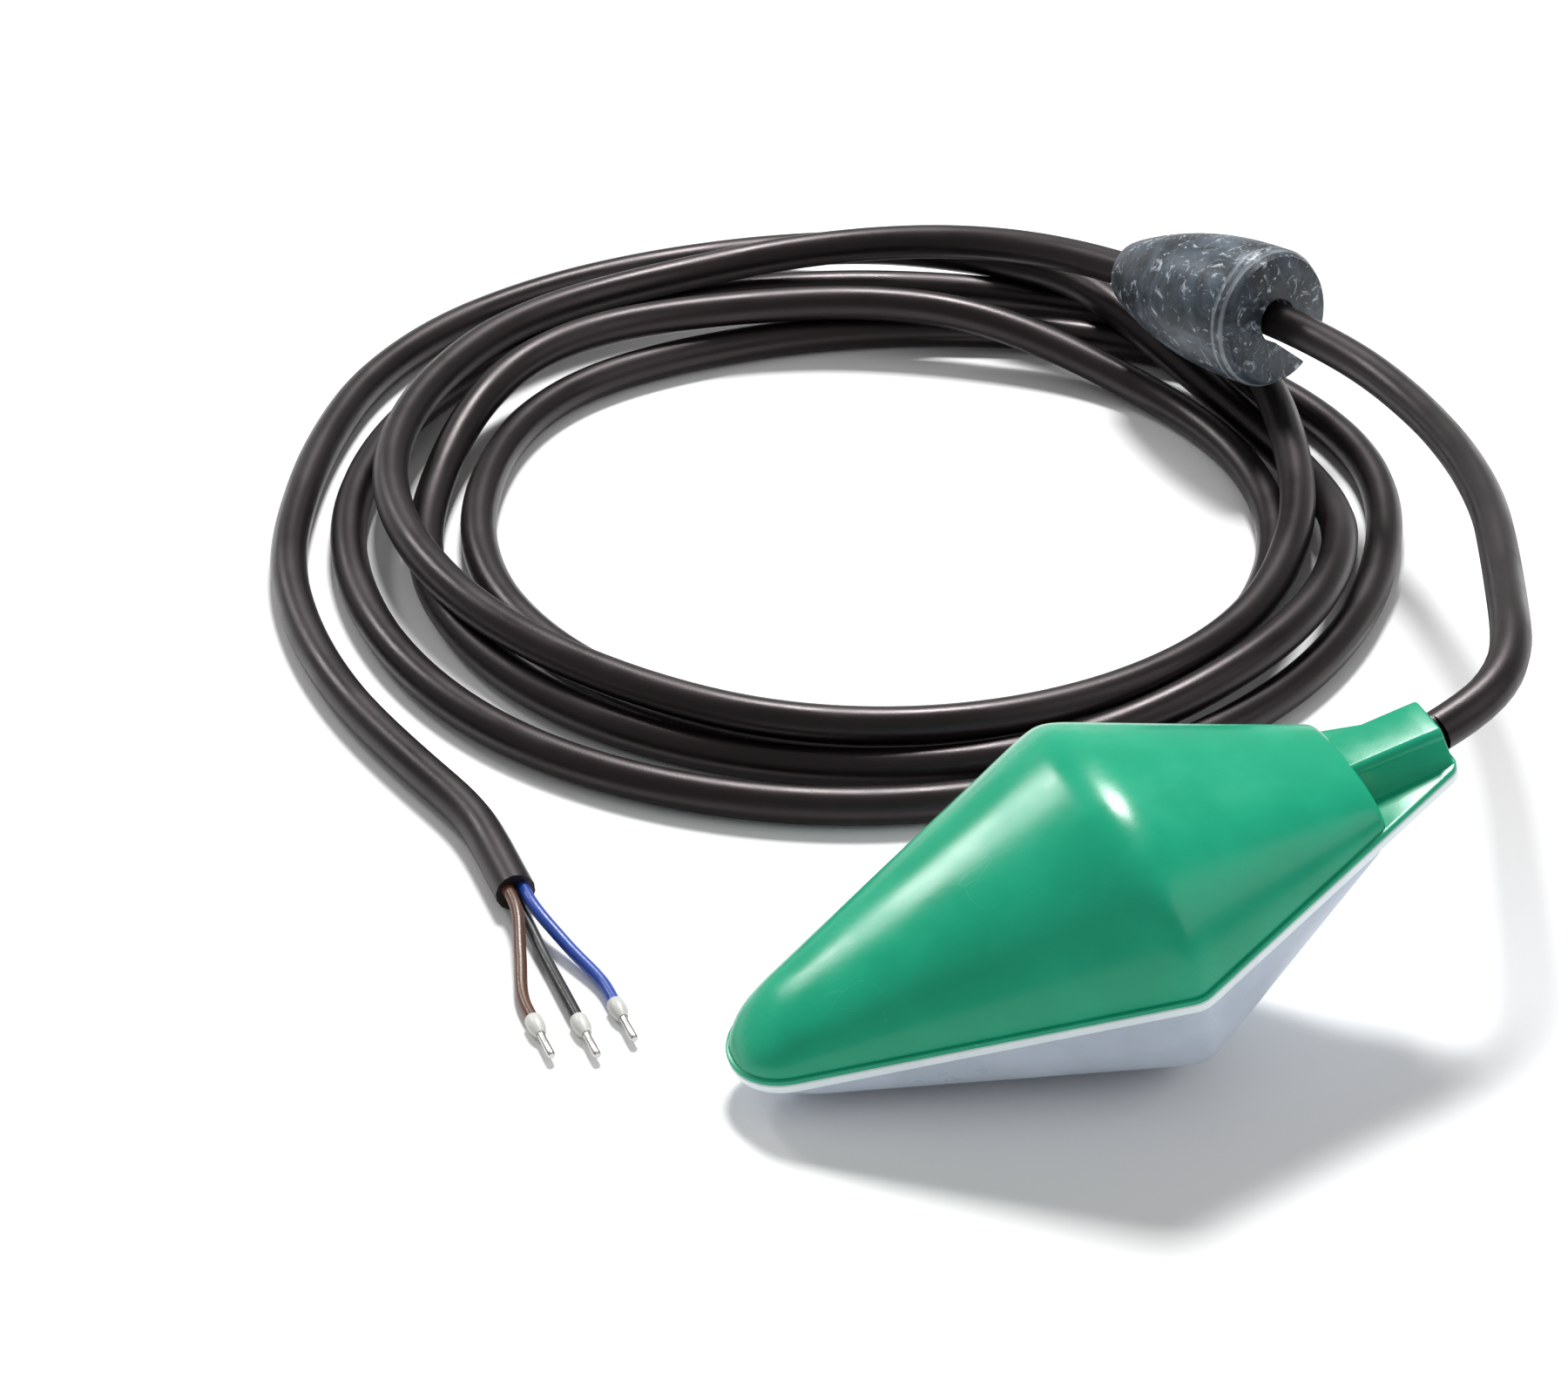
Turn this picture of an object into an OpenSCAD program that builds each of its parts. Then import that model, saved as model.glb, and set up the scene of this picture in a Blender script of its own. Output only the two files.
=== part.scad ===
// Cable float switch.
// A two-shell float holds a sealed capsule with a rolling ball and a microswitch.
// Its cable runs through a slotted counterweight into a loose coil.
// Sizes are in millimetres, Z is up and the floor is at z = 0.

/* [Float plan] */
// Distance from the widest section to the nose tip
nose_reach = 88.5; // [84:0.5:98]
// Radius of the nose seen from above
nose_r = 15; // [13:0.5:17]
// Half of the width at the widest section
half_width = 43; // [41:0.5:48]
// Radius of the two wide corners
corner_r = 6; // [4:0.5:8]
// Distance from the widest section to the tail tip
tail_reach = 74; // [71:0.5:80]
// Half of the width at the tail tip
tail_half_width = 12; // [11:0.5:16]
// Radius of the tail corners
tail_r = 5; // [3:0.5:7]

/* [Float section] */
// Height of the upper dome over the rim, before its crest is rounded
dome_height = 32.5; // [29:0.5:36]
// Depth of the lower dome under the rim, before its crest is rounded
keel_depth = 35.5; // [32:0.5:39]
// Height of each dome where the round nose starts
nose_height = 11; // [8:0.5:12]
// Height of the upper dome at its tail end
dome_end_height = 9.2; // [9:0.2:12]
// Depth of the lower dome at its tail end
keel_end_depth = 10; // [8:0.2:12]
// Distance from the widest section to the tail end of the domes
dome_end = 53; // [50:0.5:55]
// Half length over which the transverse crest is rounded
crest_blend = 6; // [3:0.5:10]
// Fullness of the cross section, where 2 is an ellipse
fullness = 2.3; // [2:0.1:3]
// Wall of both shells
shell_wall = 2; // [1.6:0.1:2.5]

/* [Float rim] */
// Thickness of the upper rim bead
bead_t = 1.2; // [1:0.1:1.8]
// Thickness of the lower flange
flange_t = 2.2; // [2:0.1:3]
// Step from the rim's edge in to the upper dome
bead_step = 0.8; // [0.4:0.1:1.4]
// Step from the rim's edge in to the lower wall
flange_step = 1.8; // [1:0.1:2.4]
// Depth of the upper shell's locating lip
lip_depth = 1.6; // [1:0.1:2.4]
// Thickness of the locating lip
lip_t = 1.2; // [0.8:0.1:1.8]
// Nose-down tilt at which the float rests
rest_tilt = 16.25; // [10:0.25:19]

/* [Neck] */
// Half of the width of the neck housing at its top
neck_top_half = 6.75; // [6:0.25:8]
// Half of the width of the neck housing at the deck
neck_foot_half = 8.75; // [8:0.25:10]
// Height of the neck housing over the rim plane
neck_height = 8.9; // [8.7:0.1:9.2]
// Radius of the neck housing's top edges
neck_edge_r = 1.8; // [0.5:0.1:2.5]
// Length of deck left beyond the neck housing
neck_setback = 0.8; // [0.5:0.1:3]

/* [Cable] */
// Diameter of the sheathed cable
cable_d = 9; // [8:0.1:9.4]
// Height of the cable's axis over the rim plane
cable_axis_z = 3.2; // [3:0.1:3.6]
// Diameter of one insulated core
core_d = 2.8; // [2:0.1:3]
// Length of stripped core at the free end
lead_length = 46; // [36:1:56]
// Length of the straight end of the sheath
sheath_end_length = 26; // [20:1:30]

/* [Counterweight] */
// Diameter of the counterweight
weight_d = 35.5; // [34:0.5:40]
// Length of the counterweight
weight_length = 54; // [48:0.5:60]
// Length of its straight part at the big end
weight_straight = 9; // [8:0.5:18]
// Diameter of the nose face
weight_nose_d = 16.5; // [16:0.5:20]
// Diameter of the bore
weight_bore_d = 11.4; // [10.8:0.2:12.4]
// Width of the side slot
weight_slot = 10; // [9.6:0.2:10.6]
// Depth of the chamfer at the big end
weight_chamfer = 2.2; // [1:0.2:3]
// Depth of the scribed rings
scribe_depth = 0.4; // [0.2:0.1:0.8]

/* [Coil] */
// Outer radius of the coil
coil_outer_r = 141; // [130:1:141]
// Width of the coil's band of turns
coil_band = 51; // [45:1:56]
// Height of the coil
coil_height = 18; // [16:1:18]
// Edge radius of the coil
coil_edge_r = 5; // [2:0.5:8]

/* [Capsule] */
// Length of the switch housing
housing_length = 62; // [60:0.5:64]
// Distance from the widest section to the housing's tail wall
housing_tail = 26; // [25:0.5:27]
// Width of the switch housing
housing_width = 32; // [30:0.5:33]
// Height of the housing's underside, below the rim plane
housing_bottom = 13; // [12.6:0.1:13.5]
// Height of the housing's open top over the rim plane
housing_top = 11.5; // [11.2:0.1:11.8]
// Wall of the housing
housing_wall = 2; // [1.6:0.1:2.2]
// Corner radius of the housing
housing_corner_r = 3; // [2:0.5:4]
// Thickness of the gasket
gasket_t = 0.5; // [0.4:0.1:0.8]
// Thickness of the cover
cover_t = 2; // [1.6:0.1:2.2]
// Radius of the cover screw bosses
boss_r = 2.6; // [2.4:0.1:3]
// Radius of the cover screws' shanks
cover_screw_r = 1; // [0.8:0.1:1.2]
// Length of the cover screws
cover_screw_length = 9; // [7:0.5:12]

/* [Ball and microswitch] */
// Diameter of the steel ball
ball_d = 14; // [12:0.5:14]
// Travel of the ball
ball_travel = 13; // [11:0.5:13]
// Running gap round the ball
ball_gap = 0.3; // [0.25:0.05:0.5]
// Length of the microswitch case along the float's height
case_length = 19.8; // [19:0.1:20]
// Depth of the case, from lever side to terminal side
case_depth = 10.3; // [9.8:0.1:10.6]
// Thickness of the case
case_t = 6.4; // [6:0.1:6.8]
// Thickness of the lever blade
blade_t = 0.5; // [0.3:0.05:0.6]
// Swing of the lever
lever_swing = 8; // [6:0.5:9]
// Radius of the lever pin
lever_pin_r = 0.5; // [0.4:0.05:0.6]
// Radius of the button
button_r = 1.2; // [1:0.1:1.5]
// Running clearance of pin and button
running_gap = 0.06; // [0.03:0.01:0.09]

/* [Hidden] */
$fn = 64;

// Colours
green = [0.10, 0.56, 0.41];
white = [0.88, 0.91, 0.93];
sheath_black = [0.07, 0.07, 0.08];
iron = [0.28, 0.31, 0.34];
capsule_grey = [0.72, 0.72, 0.70];
steel = [0.75, 0.76, 0.78];
brass = [0.80, 0.64, 0.30];
brown = [0.36, 0.20, 0.11];
blue = [0.10, 0.28, 0.70];
black = [0.09, 0.09, 0.10];
rubber_grey = [0.20, 0.20, 0.21];
switch_black = [0.14, 0.14, 0.15];

// Small sizes shared by several pieces
fit_gap = 0.1;
seat_gap = 0.3;
sliver = 0.6;

// Place of the float
nose_x = nose_r - nose_reach;
float_x = 6.8;
rise_stations = [-crest_blend, -crest_blend / 2, 0, crest_blend / 2, crest_blend, 2 * crest_blend];
float_lift = max([for (x = rise_stations)
    crest_line(x, keel_depth, keel_end_depth) * cos(rest_tilt) - x * sin(rest_tilt)]);

// Cable and neck
cable_r = cable_d / 2;
core_r = core_d / 2;
stripped_back = 4;
neck_end = tail_reach - neck_setback;
cable_inner_end = housing_tail - housing_wall - stripped_back;

// Plan outline of the rim: circles joined by their common tangents
function unit(v) = v / norm(v);
function tangent_angle(c1, r1, c2, r2) =
    let (u = unit(c2 - c1), s = (r1 - r2) / norm(c2 - c1), c = sqrt(1 - s * s))
    atan2(s * u[1] + c * u[0], s * u[0] - c * u[1]);
function arc(c, r, a1, a2, n) = [for (i = [0 : n]) c + r * [cos(a1 + (a2 - a1) * i / n), sin(a1 + (a2 - a1) * i / n)]];
function half_outline(inset) =
    let (nose = [nose_x, 0],
         wide = [0, half_width - corner_r],
         tail = [tail_reach - tail_r, tail_half_width - tail_r],
         a1 = tangent_angle(nose, nose_r, wide, corner_r),
         a2 = tangent_angle(wide, corner_r, tail, tail_r))
    concat(arc(nose, nose_r - inset, 180, a1, 10),
           arc(wide, corner_r - inset, a1, a2, 6),
           arc(tail, tail_r - inset, a2, 0, 6));
function mirrored(points) = [for (i = [len(points) - 1 : -1 : 0]) [points[i][0], -points[i][1]]];
function rim_outline(inset) = concat(half_outline(inset), mirrored(half_outline(inset)));

// Side profile of a dome: two straight lines with a rounded crest, and a round nose
function crest_line(x, top, end_height) =
    let (rise = (top - nose_height) / -nose_x, fall = (top - end_height) / dome_end, b = crest_blend)
    x < -b ? top + rise * x :
    x > b ? top - fall * x :
    top + (rise - fall) / 2 * x - (rise + fall) * (x * x + b * b) / (4 * b);
function nose_factor(x) = x < nose_x ? sqrt(max(0, 1 - pow((nose_x - x) / nose_r, 2))) : 1;
function bulge(s) = pow(s, 2 / fullness);

// One cross section of a dome, from side to side over the crest
function dome_section(x, half, height, base, n) =
    [for (i = [0 : n]) let (a = 180 * i / n)
        [x, -half * sign(cos(a)) * bulge(abs(cos(a))), base + (height - base) * bulge(sin(a))]];
mid_station = 0.55;
function dome_stations(end) = concat(
    [for (a = [10, 24, 40, 56, 72]) nose_x - nose_r * cos(a)],
    [nose_x, nose_x * mid_station, -crest_blend],
    [for (k = [-2 : 2]) k * crest_blend / 3],
    [crest_blend, end * mid_station, end]);

// A closed solid through a row of equal cross sections
module loft(rings) {
    n = len(rings[0]);
    m = len(rings);
    points = [for (ring = rings) for (p = ring) p];
    sides = [for (j = [0 : m - 2]) for (i = [0 : n - 1]) let (k = (i + 1) % n)
        [j * n + i, j * n + k, (j + 1) * n + k, (j + 1) * n + i]];
    polyhedron(points, concat([[for (i = [n - 1 : -1 : 0]) i]], sides,
        [[for (i = [0 : n - 1]) (m - 1) * n + i]]), convexity = 6);
}

// A dome over the rim plane; inset shrinks it to the cavity of the shell
module dome(top, end_height, step, inset, base, segments) {
    outline = half_outline(step + inset);
    end = dome_end - inset;
    loft([for (x = dome_stations(end))
        let (shrunk = x < nose_x ? nose_x + (x - nose_x) * (1 - (step + inset) / nose_r) : x)
        dome_section(shrunk, max(0.4, lookup(shrunk, outline)),
            max(base + 0.5, (crest_line(x, top, end_height) - inset) * nose_factor(x)), base, segments)]);
}

// Flat plate with the rim's outline
module rim_plate(inset, z1, z2) {
    translate([0, 0, z1]) linear_extrude(z2 - z1) polygon(rim_outline(inset));
}

module box(x1, x2, y1, y2, z1, z2) {
    translate([x1, y1, z1]) cube([x2 - x1, y2 - y1, z2 - z1]);
}

// Round bar along the float's long axis, at the cable's height
module cable_bar(r, x1, x2) {
    translate([x1, 0, cable_axis_z]) rotate([0, 90, 0]) cylinder(r = r, h = x2 - x1);
}

// Everything in the float is drawn level and placed by this tilt
module at_float() {
    translate([float_x, 0, float_lift]) rotate([0, -rest_tilt, 0]) children();
}
function placed(p) = [float_x + p[0] * cos(rest_tilt) - p[2] * sin(rest_tilt), p[1],
                      float_lift + p[0] * sin(rest_tilt) + p[2] * cos(rest_tilt)];

// Float shells
shell_cut = dome_end - shell_wall;
cavity_ledge = 0.2;
lip_room = 0.25;
cradle_x = [-30, 14];
cradle_t = 3;
cradle_half = 14;
saddle_x = 40;
saddle_half_length = 4;
saddle_half_width = 13;
saddle_split = 0.5;
saddle_step = 0.5;
clamp_screw_y = 9;
clamp_screw_r = 1.4;
clamp_screw_length = 12;
clamp_head_r = 2.4;
clamp_head_t = 1.6;
clamp_top = 9.4;
clamp_head_z = clamp_top - clamp_head_t - 0.2;

module rim_cavity(inset, z1, z2) {
    intersection() {
        rim_plate(inset, z1, z2);
        box(-nose_reach, shell_cut - sliver, -half_width, half_width, z1 - 1, z2 + 1);
    }
}
module neck_profile() {
    slope = atan2(neck_foot_half - neck_top_half, neck_height);
    c = [neck_top_half - neck_edge_r, neck_height - neck_edge_r];
    right = arc(c, neck_edge_r, -slope, 90, 6);
    polygon(concat([[-neck_foot_half, sliver], [neck_foot_half, sliver]], right,
        [for (i = [len(right) - 1 : -1 : 0]) [-right[i][0], right[i][1]]]));
}
module neck() {
    translate([shell_cut, 0, 0]) rotate([90, 0, 90]) linear_extrude(neck_end - shell_cut) neck_profile();
}
module cradles(z1, z2) {
    for (x = cradle_x) box(x - cradle_t / 2, x + cradle_t / 2, -cradle_half, cradle_half, z1, z2);
}
module upper_shell() {
    lip_inset = flange_step + shell_wall + fit_gap;
    color(green) at_float() {
        difference() {
            union() {
                dome(dome_height, dome_end_height, bead_step, 0, sliver, 36);
                rim_plate(0, 0, bead_t);
                neck();
            }
            difference() {
                union() {
                    dome(dome_height, dome_end_height, bead_step, shell_wall, bead_t, 24);
                    rim_cavity(lip_inset + lip_t, -1, bead_t + sliver);
                }
                cradles(housing_top + gasket_t + cover_t, dome_height);
            }
            cable_bar(cable_r + fit_gap, shell_cut - 1, tail_reach + 1);
        }
        difference() {
            intersection() {
                rim_plate(lip_inset, -lip_depth, sliver);
                box(-nose_reach, shell_cut - 4, -half_width, half_width, -lip_depth, sliver);
            }
            rim_plate(lip_inset + lip_t, -lip_depth - 1, 1);
        }
    }
}
module lower_shell() {
    cavity_inset = flange_step + shell_wall;
    color(white) at_float() difference() {
        union() {
            difference() {
                union() {
                    mirror([0, 0, 1]) dome(keel_depth, keel_end_depth, flange_step, 0, sliver, 36);
                    rim_plate(0, -flange_t, 0);
                }
                difference() {
                    union() {
                        mirror([0, 0, 1]) dome(keel_depth, keel_end_depth, flange_step, shell_wall, sliver, 24);
                        rim_cavity(cavity_inset - cavity_ledge, -lip_depth - lip_room, 1);
                    }
                    cradles(-keel_depth, -housing_bottom);
                    box(saddle_x - saddle_half_length, saddle_x + saddle_half_length,
                        -saddle_half_width, saddle_half_width, -keel_depth, 2);
                }
            }
            box(saddle_x - saddle_half_length + saddle_step, saddle_x + saddle_half_length - saddle_step,
                saddle_step - saddle_half_width, saddle_half_width - saddle_step, -flange_t / 2, cable_axis_z - saddle_split);
        }
        cable_bar(cable_r, saddle_x - saddle_half_length - 1, saddle_x + saddle_half_length + 1);
        cable_bar(cable_r + fit_gap, shell_cut - 1, tail_reach + 1);
        clamp_screw_holes(clamp_screw_r);
    }
}

// Cable clamp on the saddle
module clamp_screw_holes(r) {
    for (y = [-clamp_screw_y, clamp_screw_y])
        translate([saddle_x, y, clamp_head_z - clamp_screw_length]) cylinder(r = r, h = clamp_screw_length);
}
module cable_clamp() {
    color(capsule_grey) at_float() difference() {
        box(saddle_x - saddle_half_length, saddle_x + saddle_half_length,
            -saddle_half_width, saddle_half_width, cable_axis_z + saddle_split, clamp_top);
        cable_bar(cable_r, saddle_x - saddle_half_length - 1, saddle_x + saddle_half_length + 1);
        clamp_screw_holes(clamp_screw_r + fit_gap);
        for (y = [-clamp_screw_y, clamp_screw_y])
            translate([saddle_x, y, clamp_head_z]) cylinder(r = clamp_head_r + fit_gap, h = clamp_top);
    }
}
module clamp_screws() {
    color(steel) at_float() {
        clamp_screw_holes(clamp_screw_r);
        for (y = [-clamp_screw_y, clamp_screw_y])
            translate([saddle_x, y, clamp_head_z]) cylinder(r = clamp_head_r, h = clamp_head_t);
    }
}

// Sealed capsule
housing_nose = housing_tail - housing_length;
cover_screw_x = [housing_nose + housing_wall + boss_r - sliver, housing_tail - housing_wall - boss_r + sliver];
cover_screw_y = housing_width / 2 - housing_wall - boss_r + sliver;
cover_head_r = 2;
cover_head_t = 1.2;
cover_bottom = housing_top + gasket_t;
cover_top = cover_bottom + cover_t;
seal_r = 6.6;
seal_flange_r = 8;
seal_flange_t = 1.8;

module rounded_block(inset, z1, z2) {
    r = max(0.5, housing_corner_r - inset);
    x1 = housing_nose + inset;
    x2 = housing_tail - inset;
    y = housing_width / 2 - inset;
    translate([0, 0, z1]) linear_extrude(z2 - z1) {
        translate([x1 + r, -y]) square([x2 - x1 - 2 * r, 2 * y]);
        translate([x1, -y + r]) square([x2 - x1, 2 * y - 2 * r]);
        for (x = [x1 + r, x2 - r]) for (s = [-1, 1]) translate([x, s * (y - r)]) circle(r);
    }
}
module at_cover_screws() {
    for (x = cover_screw_x) for (s = [-1, 1]) translate([x, s * cover_screw_y, 0]) children();
}
module cover_screw_bars(r) {
    at_cover_screws() translate([0, 0, cover_top - cover_screw_length]) cylinder(r = r, h = cover_screw_length);
}
module switch_housing() {
    color(capsule_grey) at_float() {
        difference() {
            union() {
                difference() {
                    rounded_block(0, -housing_bottom, housing_top);
                    rounded_block(housing_wall, housing_wall - housing_bottom, housing_top + 1);
                }
                at_cover_screws() translate([0, 0, housing_wall - housing_bottom])
                    cylinder(r = boss_r, h = housing_top + housing_bottom - housing_wall);
                box(case_x + 1, case_x + case_depth - 1, case_t / 2, case_t / 2 + switch_post_t,
                    -housing_bottom + housing_wall / 2, case_bottom + case_length - 2);
            }
            cover_screw_bars(cover_screw_r);
            cable_bar(seal_r, housing_tail - housing_wall - 1, housing_tail + 1);
            switch_screw_bars(switch_screw_r);
        }
    }
}
module cover_gasket() {
    color(rubber_grey) at_float() difference() {
        rounded_block(0, housing_top, cover_bottom);
        rounded_block(housing_wall, housing_top - 1, cover_top);
    }
}
module housing_cover() {
    color(capsule_grey) at_float() difference() {
        rounded_block(0, cover_bottom, cover_top);
        cover_screw_bars(cover_screw_r + fit_gap);
        at_cover_screws() translate([0, 0, cover_top - cover_head_t]) cylinder(r = cover_head_r + fit_gap, h = cover_t);
    }
}
module cover_screws() {
    color(steel) at_float() {
        cover_screw_bars(cover_screw_r);
        at_cover_screws() translate([0, 0, cover_top - cover_head_t]) cylinder(r = cover_head_r, h = cover_head_t);
    }
}
module entry_seal() {
    wall_x = housing_tail - housing_wall;
    color(rubber_grey) at_float() difference() {
        union() {
            cable_bar(seal_r, wall_x - seal_flange_t, housing_tail + seal_flange_t);
            cable_bar(seal_flange_r, wall_x - seal_flange_t, wall_x);
            cable_bar(seal_flange_r, housing_tail, housing_tail + seal_flange_t);
        }
        cable_bar(cable_r, wall_x - 2 * seal_flange_t, housing_tail + 2 * seal_flange_t);
    }
}

// Ball and trough
ball_r = ball_d / 2;
track_nose = housing_nose + housing_wall;
track_stop = 2.2;
track_tail = -7;
track_half = ball_r + 2.4;
track_floor = housing_wall - housing_bottom;
track_t = 1.7;
ball_z = track_floor + track_t + ball_gap + ball_r;
ball_x = track_nose + track_stop + ball_gap + ball_r;

module ball_bar(r, x1, x2) {
    translate([x1, 0, ball_z]) rotate([0, 90, 0]) cylinder(r = r, h = x2 - x1);
}
module ball_track() {
    color(white) at_float() difference() {
        box(track_nose, track_tail, -track_half, track_half, track_floor, ball_z + 2);
        ball_bar(ball_r + ball_gap, track_nose + track_stop, track_tail + 1);
        box(track_nose + track_stop, track_tail + 1, -ball_r - ball_gap, ball_r + ball_gap, ball_z, ball_z + ball_d);
        for (s = [-1, 1]) translate([cover_screw_x[0], s * cover_screw_y, track_floor - 1])
            cylinder(r = boss_r + fit_gap, h = housing_top - track_floor);
    }
}
module steel_ball() {
    color(steel) at_float() translate([ball_x, 0, ball_z]) sphere(ball_r);
}

// Microswitch with its lever side towards the ball
case_clearance = 1.5;
case_x = ball_x + ball_travel + ball_r + case_clearance;
case_bottom = track_floor + 0.5;
lever_x = case_x - 1;
lever_z = case_bottom + 2;
blade_length = 13.5;
button_arm = 9.5;
button_z = lever_z + button_arm;
button_travel = button_arm * tan(lever_swing);
button_tip = lever_x + blade_t / 2 - button_travel + button_r * tan(lever_swing) + fit_gap;
button_length = 4.2;
ear_t = 0.9;
ear_r = 1.2;
hub_r = 1;
switch_post_t = 5;
switch_screw_r = 1;
switch_screw_pitch = 9.5;
switch_screw_z = [for (s = [-0.5, 0.5]) case_bottom + case_length / 2 + s * switch_screw_pitch];
switch_screw_x = case_x + case_depth - 3;
switch_screw_length = 10;
switch_head_r = 1.9;
switch_head_t = 1.2;
terminal_pitch = 8;
terminal_z = [for (i = [-1 : 1]) case_bottom + case_length / 2 + i * terminal_pitch];
terminal_length = 4.4;
terminal_w = 3.2;
terminal_t = 0.5;
terminal_hole_r = 0.7;

module side_bar(x, z, r, y1, y2) {
    translate([x, y1, z]) rotate([-90, 0, 0]) cylinder(r = r, h = y2 - y1);
}
module switch_screw_bars(r) {
    for (z = switch_screw_z)
        side_bar(switch_screw_x, z, r, -case_t / 2, switch_screw_length - case_t / 2);
}
module microswitch_case() {
    color(switch_black) at_float() difference() {
        union() {
            box(case_x, case_x + case_depth, -case_t / 2, case_t / 2, case_bottom, case_bottom + case_length);
            for (y = [-case_t / 2, case_t / 2 - ear_t]) {
                side_bar(lever_x, lever_z, ear_r, y, y + ear_t);
                box(lever_x, case_x + 1, y, y + ear_t, lever_z - ear_r, lever_z + ear_r);
            }
        }
        side_bar(lever_x, lever_z, lever_pin_r, -case_t, case_t);
        switch_screw_bars(switch_screw_r + fit_gap);
        translate([case_x - 1, 0, button_z]) rotate([0, 90, 0])
            cylinder(r = button_r + running_gap, h = 1 + button_length + button_travel);
        side_bar(lever_x, lever_z, hub_r + seat_gap, ear_t - case_t / 2, case_t / 2 - ear_t);
    }
}
module switch_button() {
    color(brown) at_float() translate([button_tip, 0, button_z]) rotate([0, 90, 0])
        cylinder(r = button_r, h = button_length);
}
module switch_lever() {
    half = case_t / 2 - ear_t - fit_gap;
    color(steel) at_float() translate([lever_x, 0, lever_z]) rotate([0, -lever_swing, 0]) difference() {
        union() {
            side_bar(0, 0, hub_r, -half, half);
            box(-blade_t / 2, blade_t / 2, -half, half, 0, blade_length);
        }
        side_bar(0, 0, lever_pin_r + running_gap, -case_t, case_t);
    }
}
module lever_pin() {
    color(steel) at_float() side_bar(lever_x, lever_z, lever_pin_r, -case_t / 2, case_t / 2);
}
module switch_terminals() {
    x = case_x + case_depth;
    color(brass) at_float() for (z = terminal_z) difference() {
        box(x, x + terminal_length, -terminal_w / 2, terminal_w / 2, z - terminal_t / 2, z + terminal_t / 2);
        translate([x + terminal_length / 2, 0, z - 1]) cylinder(r = terminal_hole_r, h = 2);
    }
}
module switch_screws() {
    color(steel) at_float() {
        switch_screw_bars(switch_screw_r);
        for (z = switch_screw_z)
            side_bar(switch_screw_x, z, switch_head_r, -case_t / 2 - switch_head_t, -case_t / 2);
    }
}

// Round tube swept along a path of points
function bend(a, b, c, d, t) =
    0.5 * (2 * b + (c - a) * t + (2 * a - 5 * b + 4 * c - d) * t * t + (3 * b - a - 3 * c + d) * t * t * t);
function smooth(p, steps) = let (n = len(p) - 1) concat(
    [for (i = [0 : n - 1]) for (k = [0 : steps - 1])
        bend(p[max(i - 1, 0)], p[i], p[i + 1], p[min(i + 2, n)], k / steps)],
    [p[n]]);
module tube(path, r, sides) {
    n = len(path) - 1;
    loft([for (i = [0 : n])
        let (t = unit(path[min(i + 1, n)] - path[max(i - 1, 0)]),
             s = unit(cross(t, [0, 0, 1])),
             u = cross(s, t))
        [for (k = [0 : sides - 1]) path[i] + r * (s * cos(360 * k / sides) + u * sin(360 * k / sides))]]);
}

// Cable and cores inside the float
core_pitch = core_d + fit_gap;
core_lead = [1.2, 3, 1.2];
terminal_lead = 1.4;
module cable_entry() {
    color(sheath_black) at_float() cable_bar(cable_r, cable_inner_end, tail_reach);
}
module inner_core(index, paint) {
    x1 = cable_inner_end;
    x2 = case_x + case_depth + terminal_length;
    z1 = cable_axis_z + (index - 1) * core_pitch;
    z2 = terminal_z[index];
    color(paint) at_float()
        tube([[x1, 0, z1], [x1 - core_lead[index], 0, z1], [x2 + terminal_lead, 0, z2], [x2, 0, z2]], core_r, 8);
}
module core_brown() inner_core(0, brown);
module core_blue() inner_core(1, blue);
module core_black() inner_core(2, black);

// Counterweight, drawn along +X from its big end
weight_face = [139.6, 216.6, 38.2];
weight_heading = 109;
weight_dip = 8;
weight_slot_turn = -50;
weight_r = weight_d / 2;
weight_nose_r = weight_nose_d / 2;
weight_bore_r = weight_bore_d / 2;
slot_lip_r = 2;
scribe_pitch = 2.2;
weight_axis = [cos(weight_dip) * cos(weight_heading), cos(weight_dip) * sin(weight_heading), -sin(weight_dip)];
module counterweight() {
    taper = weight_length - weight_straight;
    drop = weight_r - weight_nose_r;
    ogive_r = (taper * taper + drop * drop) / (2 * drop);
    scribes = [weight_chamfer, weight_chamfer + scribe_pitch];
    ogive = [for (i = [0 : 14]) let (s = taper * i / 14)
        [weight_r - ogive_r + sqrt(ogive_r * ogive_r - s * s), weight_straight + s]];
    profile = concat(
        [[weight_bore_r, 0], [weight_r - weight_chamfer, 0], [weight_r - scribe_depth, weight_chamfer]],
        [[weight_r, weight_chamfer + scribe_depth], [weight_r, scribes[1]]],
        [[weight_r - scribe_depth, scribes[1] + scribe_depth], [weight_r, scribes[1] + 2 * scribe_depth]],
        ogive,
        [[weight_bore_r, weight_length]]);
    color(iron) translate(weight_face) rotate([0, 90 + weight_dip, weight_heading]) difference() {
        rotate_extrude() polygon(profile);
        translate([0, 0, -1]) rotate([0, 0, weight_slot_turn]) linear_extrude(weight_length + 2) {
            translate([0, -weight_slot / 2]) square([weight_r + 1, weight_slot]);
            mouth = sqrt(pow(weight_r, 2) - pow(weight_slot / 2 + slot_lip_r, 2)) - slot_lip_r;
            for (s = [0, 1]) mirror([0, s]) difference() {
                translate([mouth, weight_slot / 2 - sliver]) square([2 * slot_lip_r + 2, slot_lip_r + sliver]);
                translate([mouth, weight_slot / 2 + slot_lip_r]) circle(slot_lip_r);
            }
        }
    }
}

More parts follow.
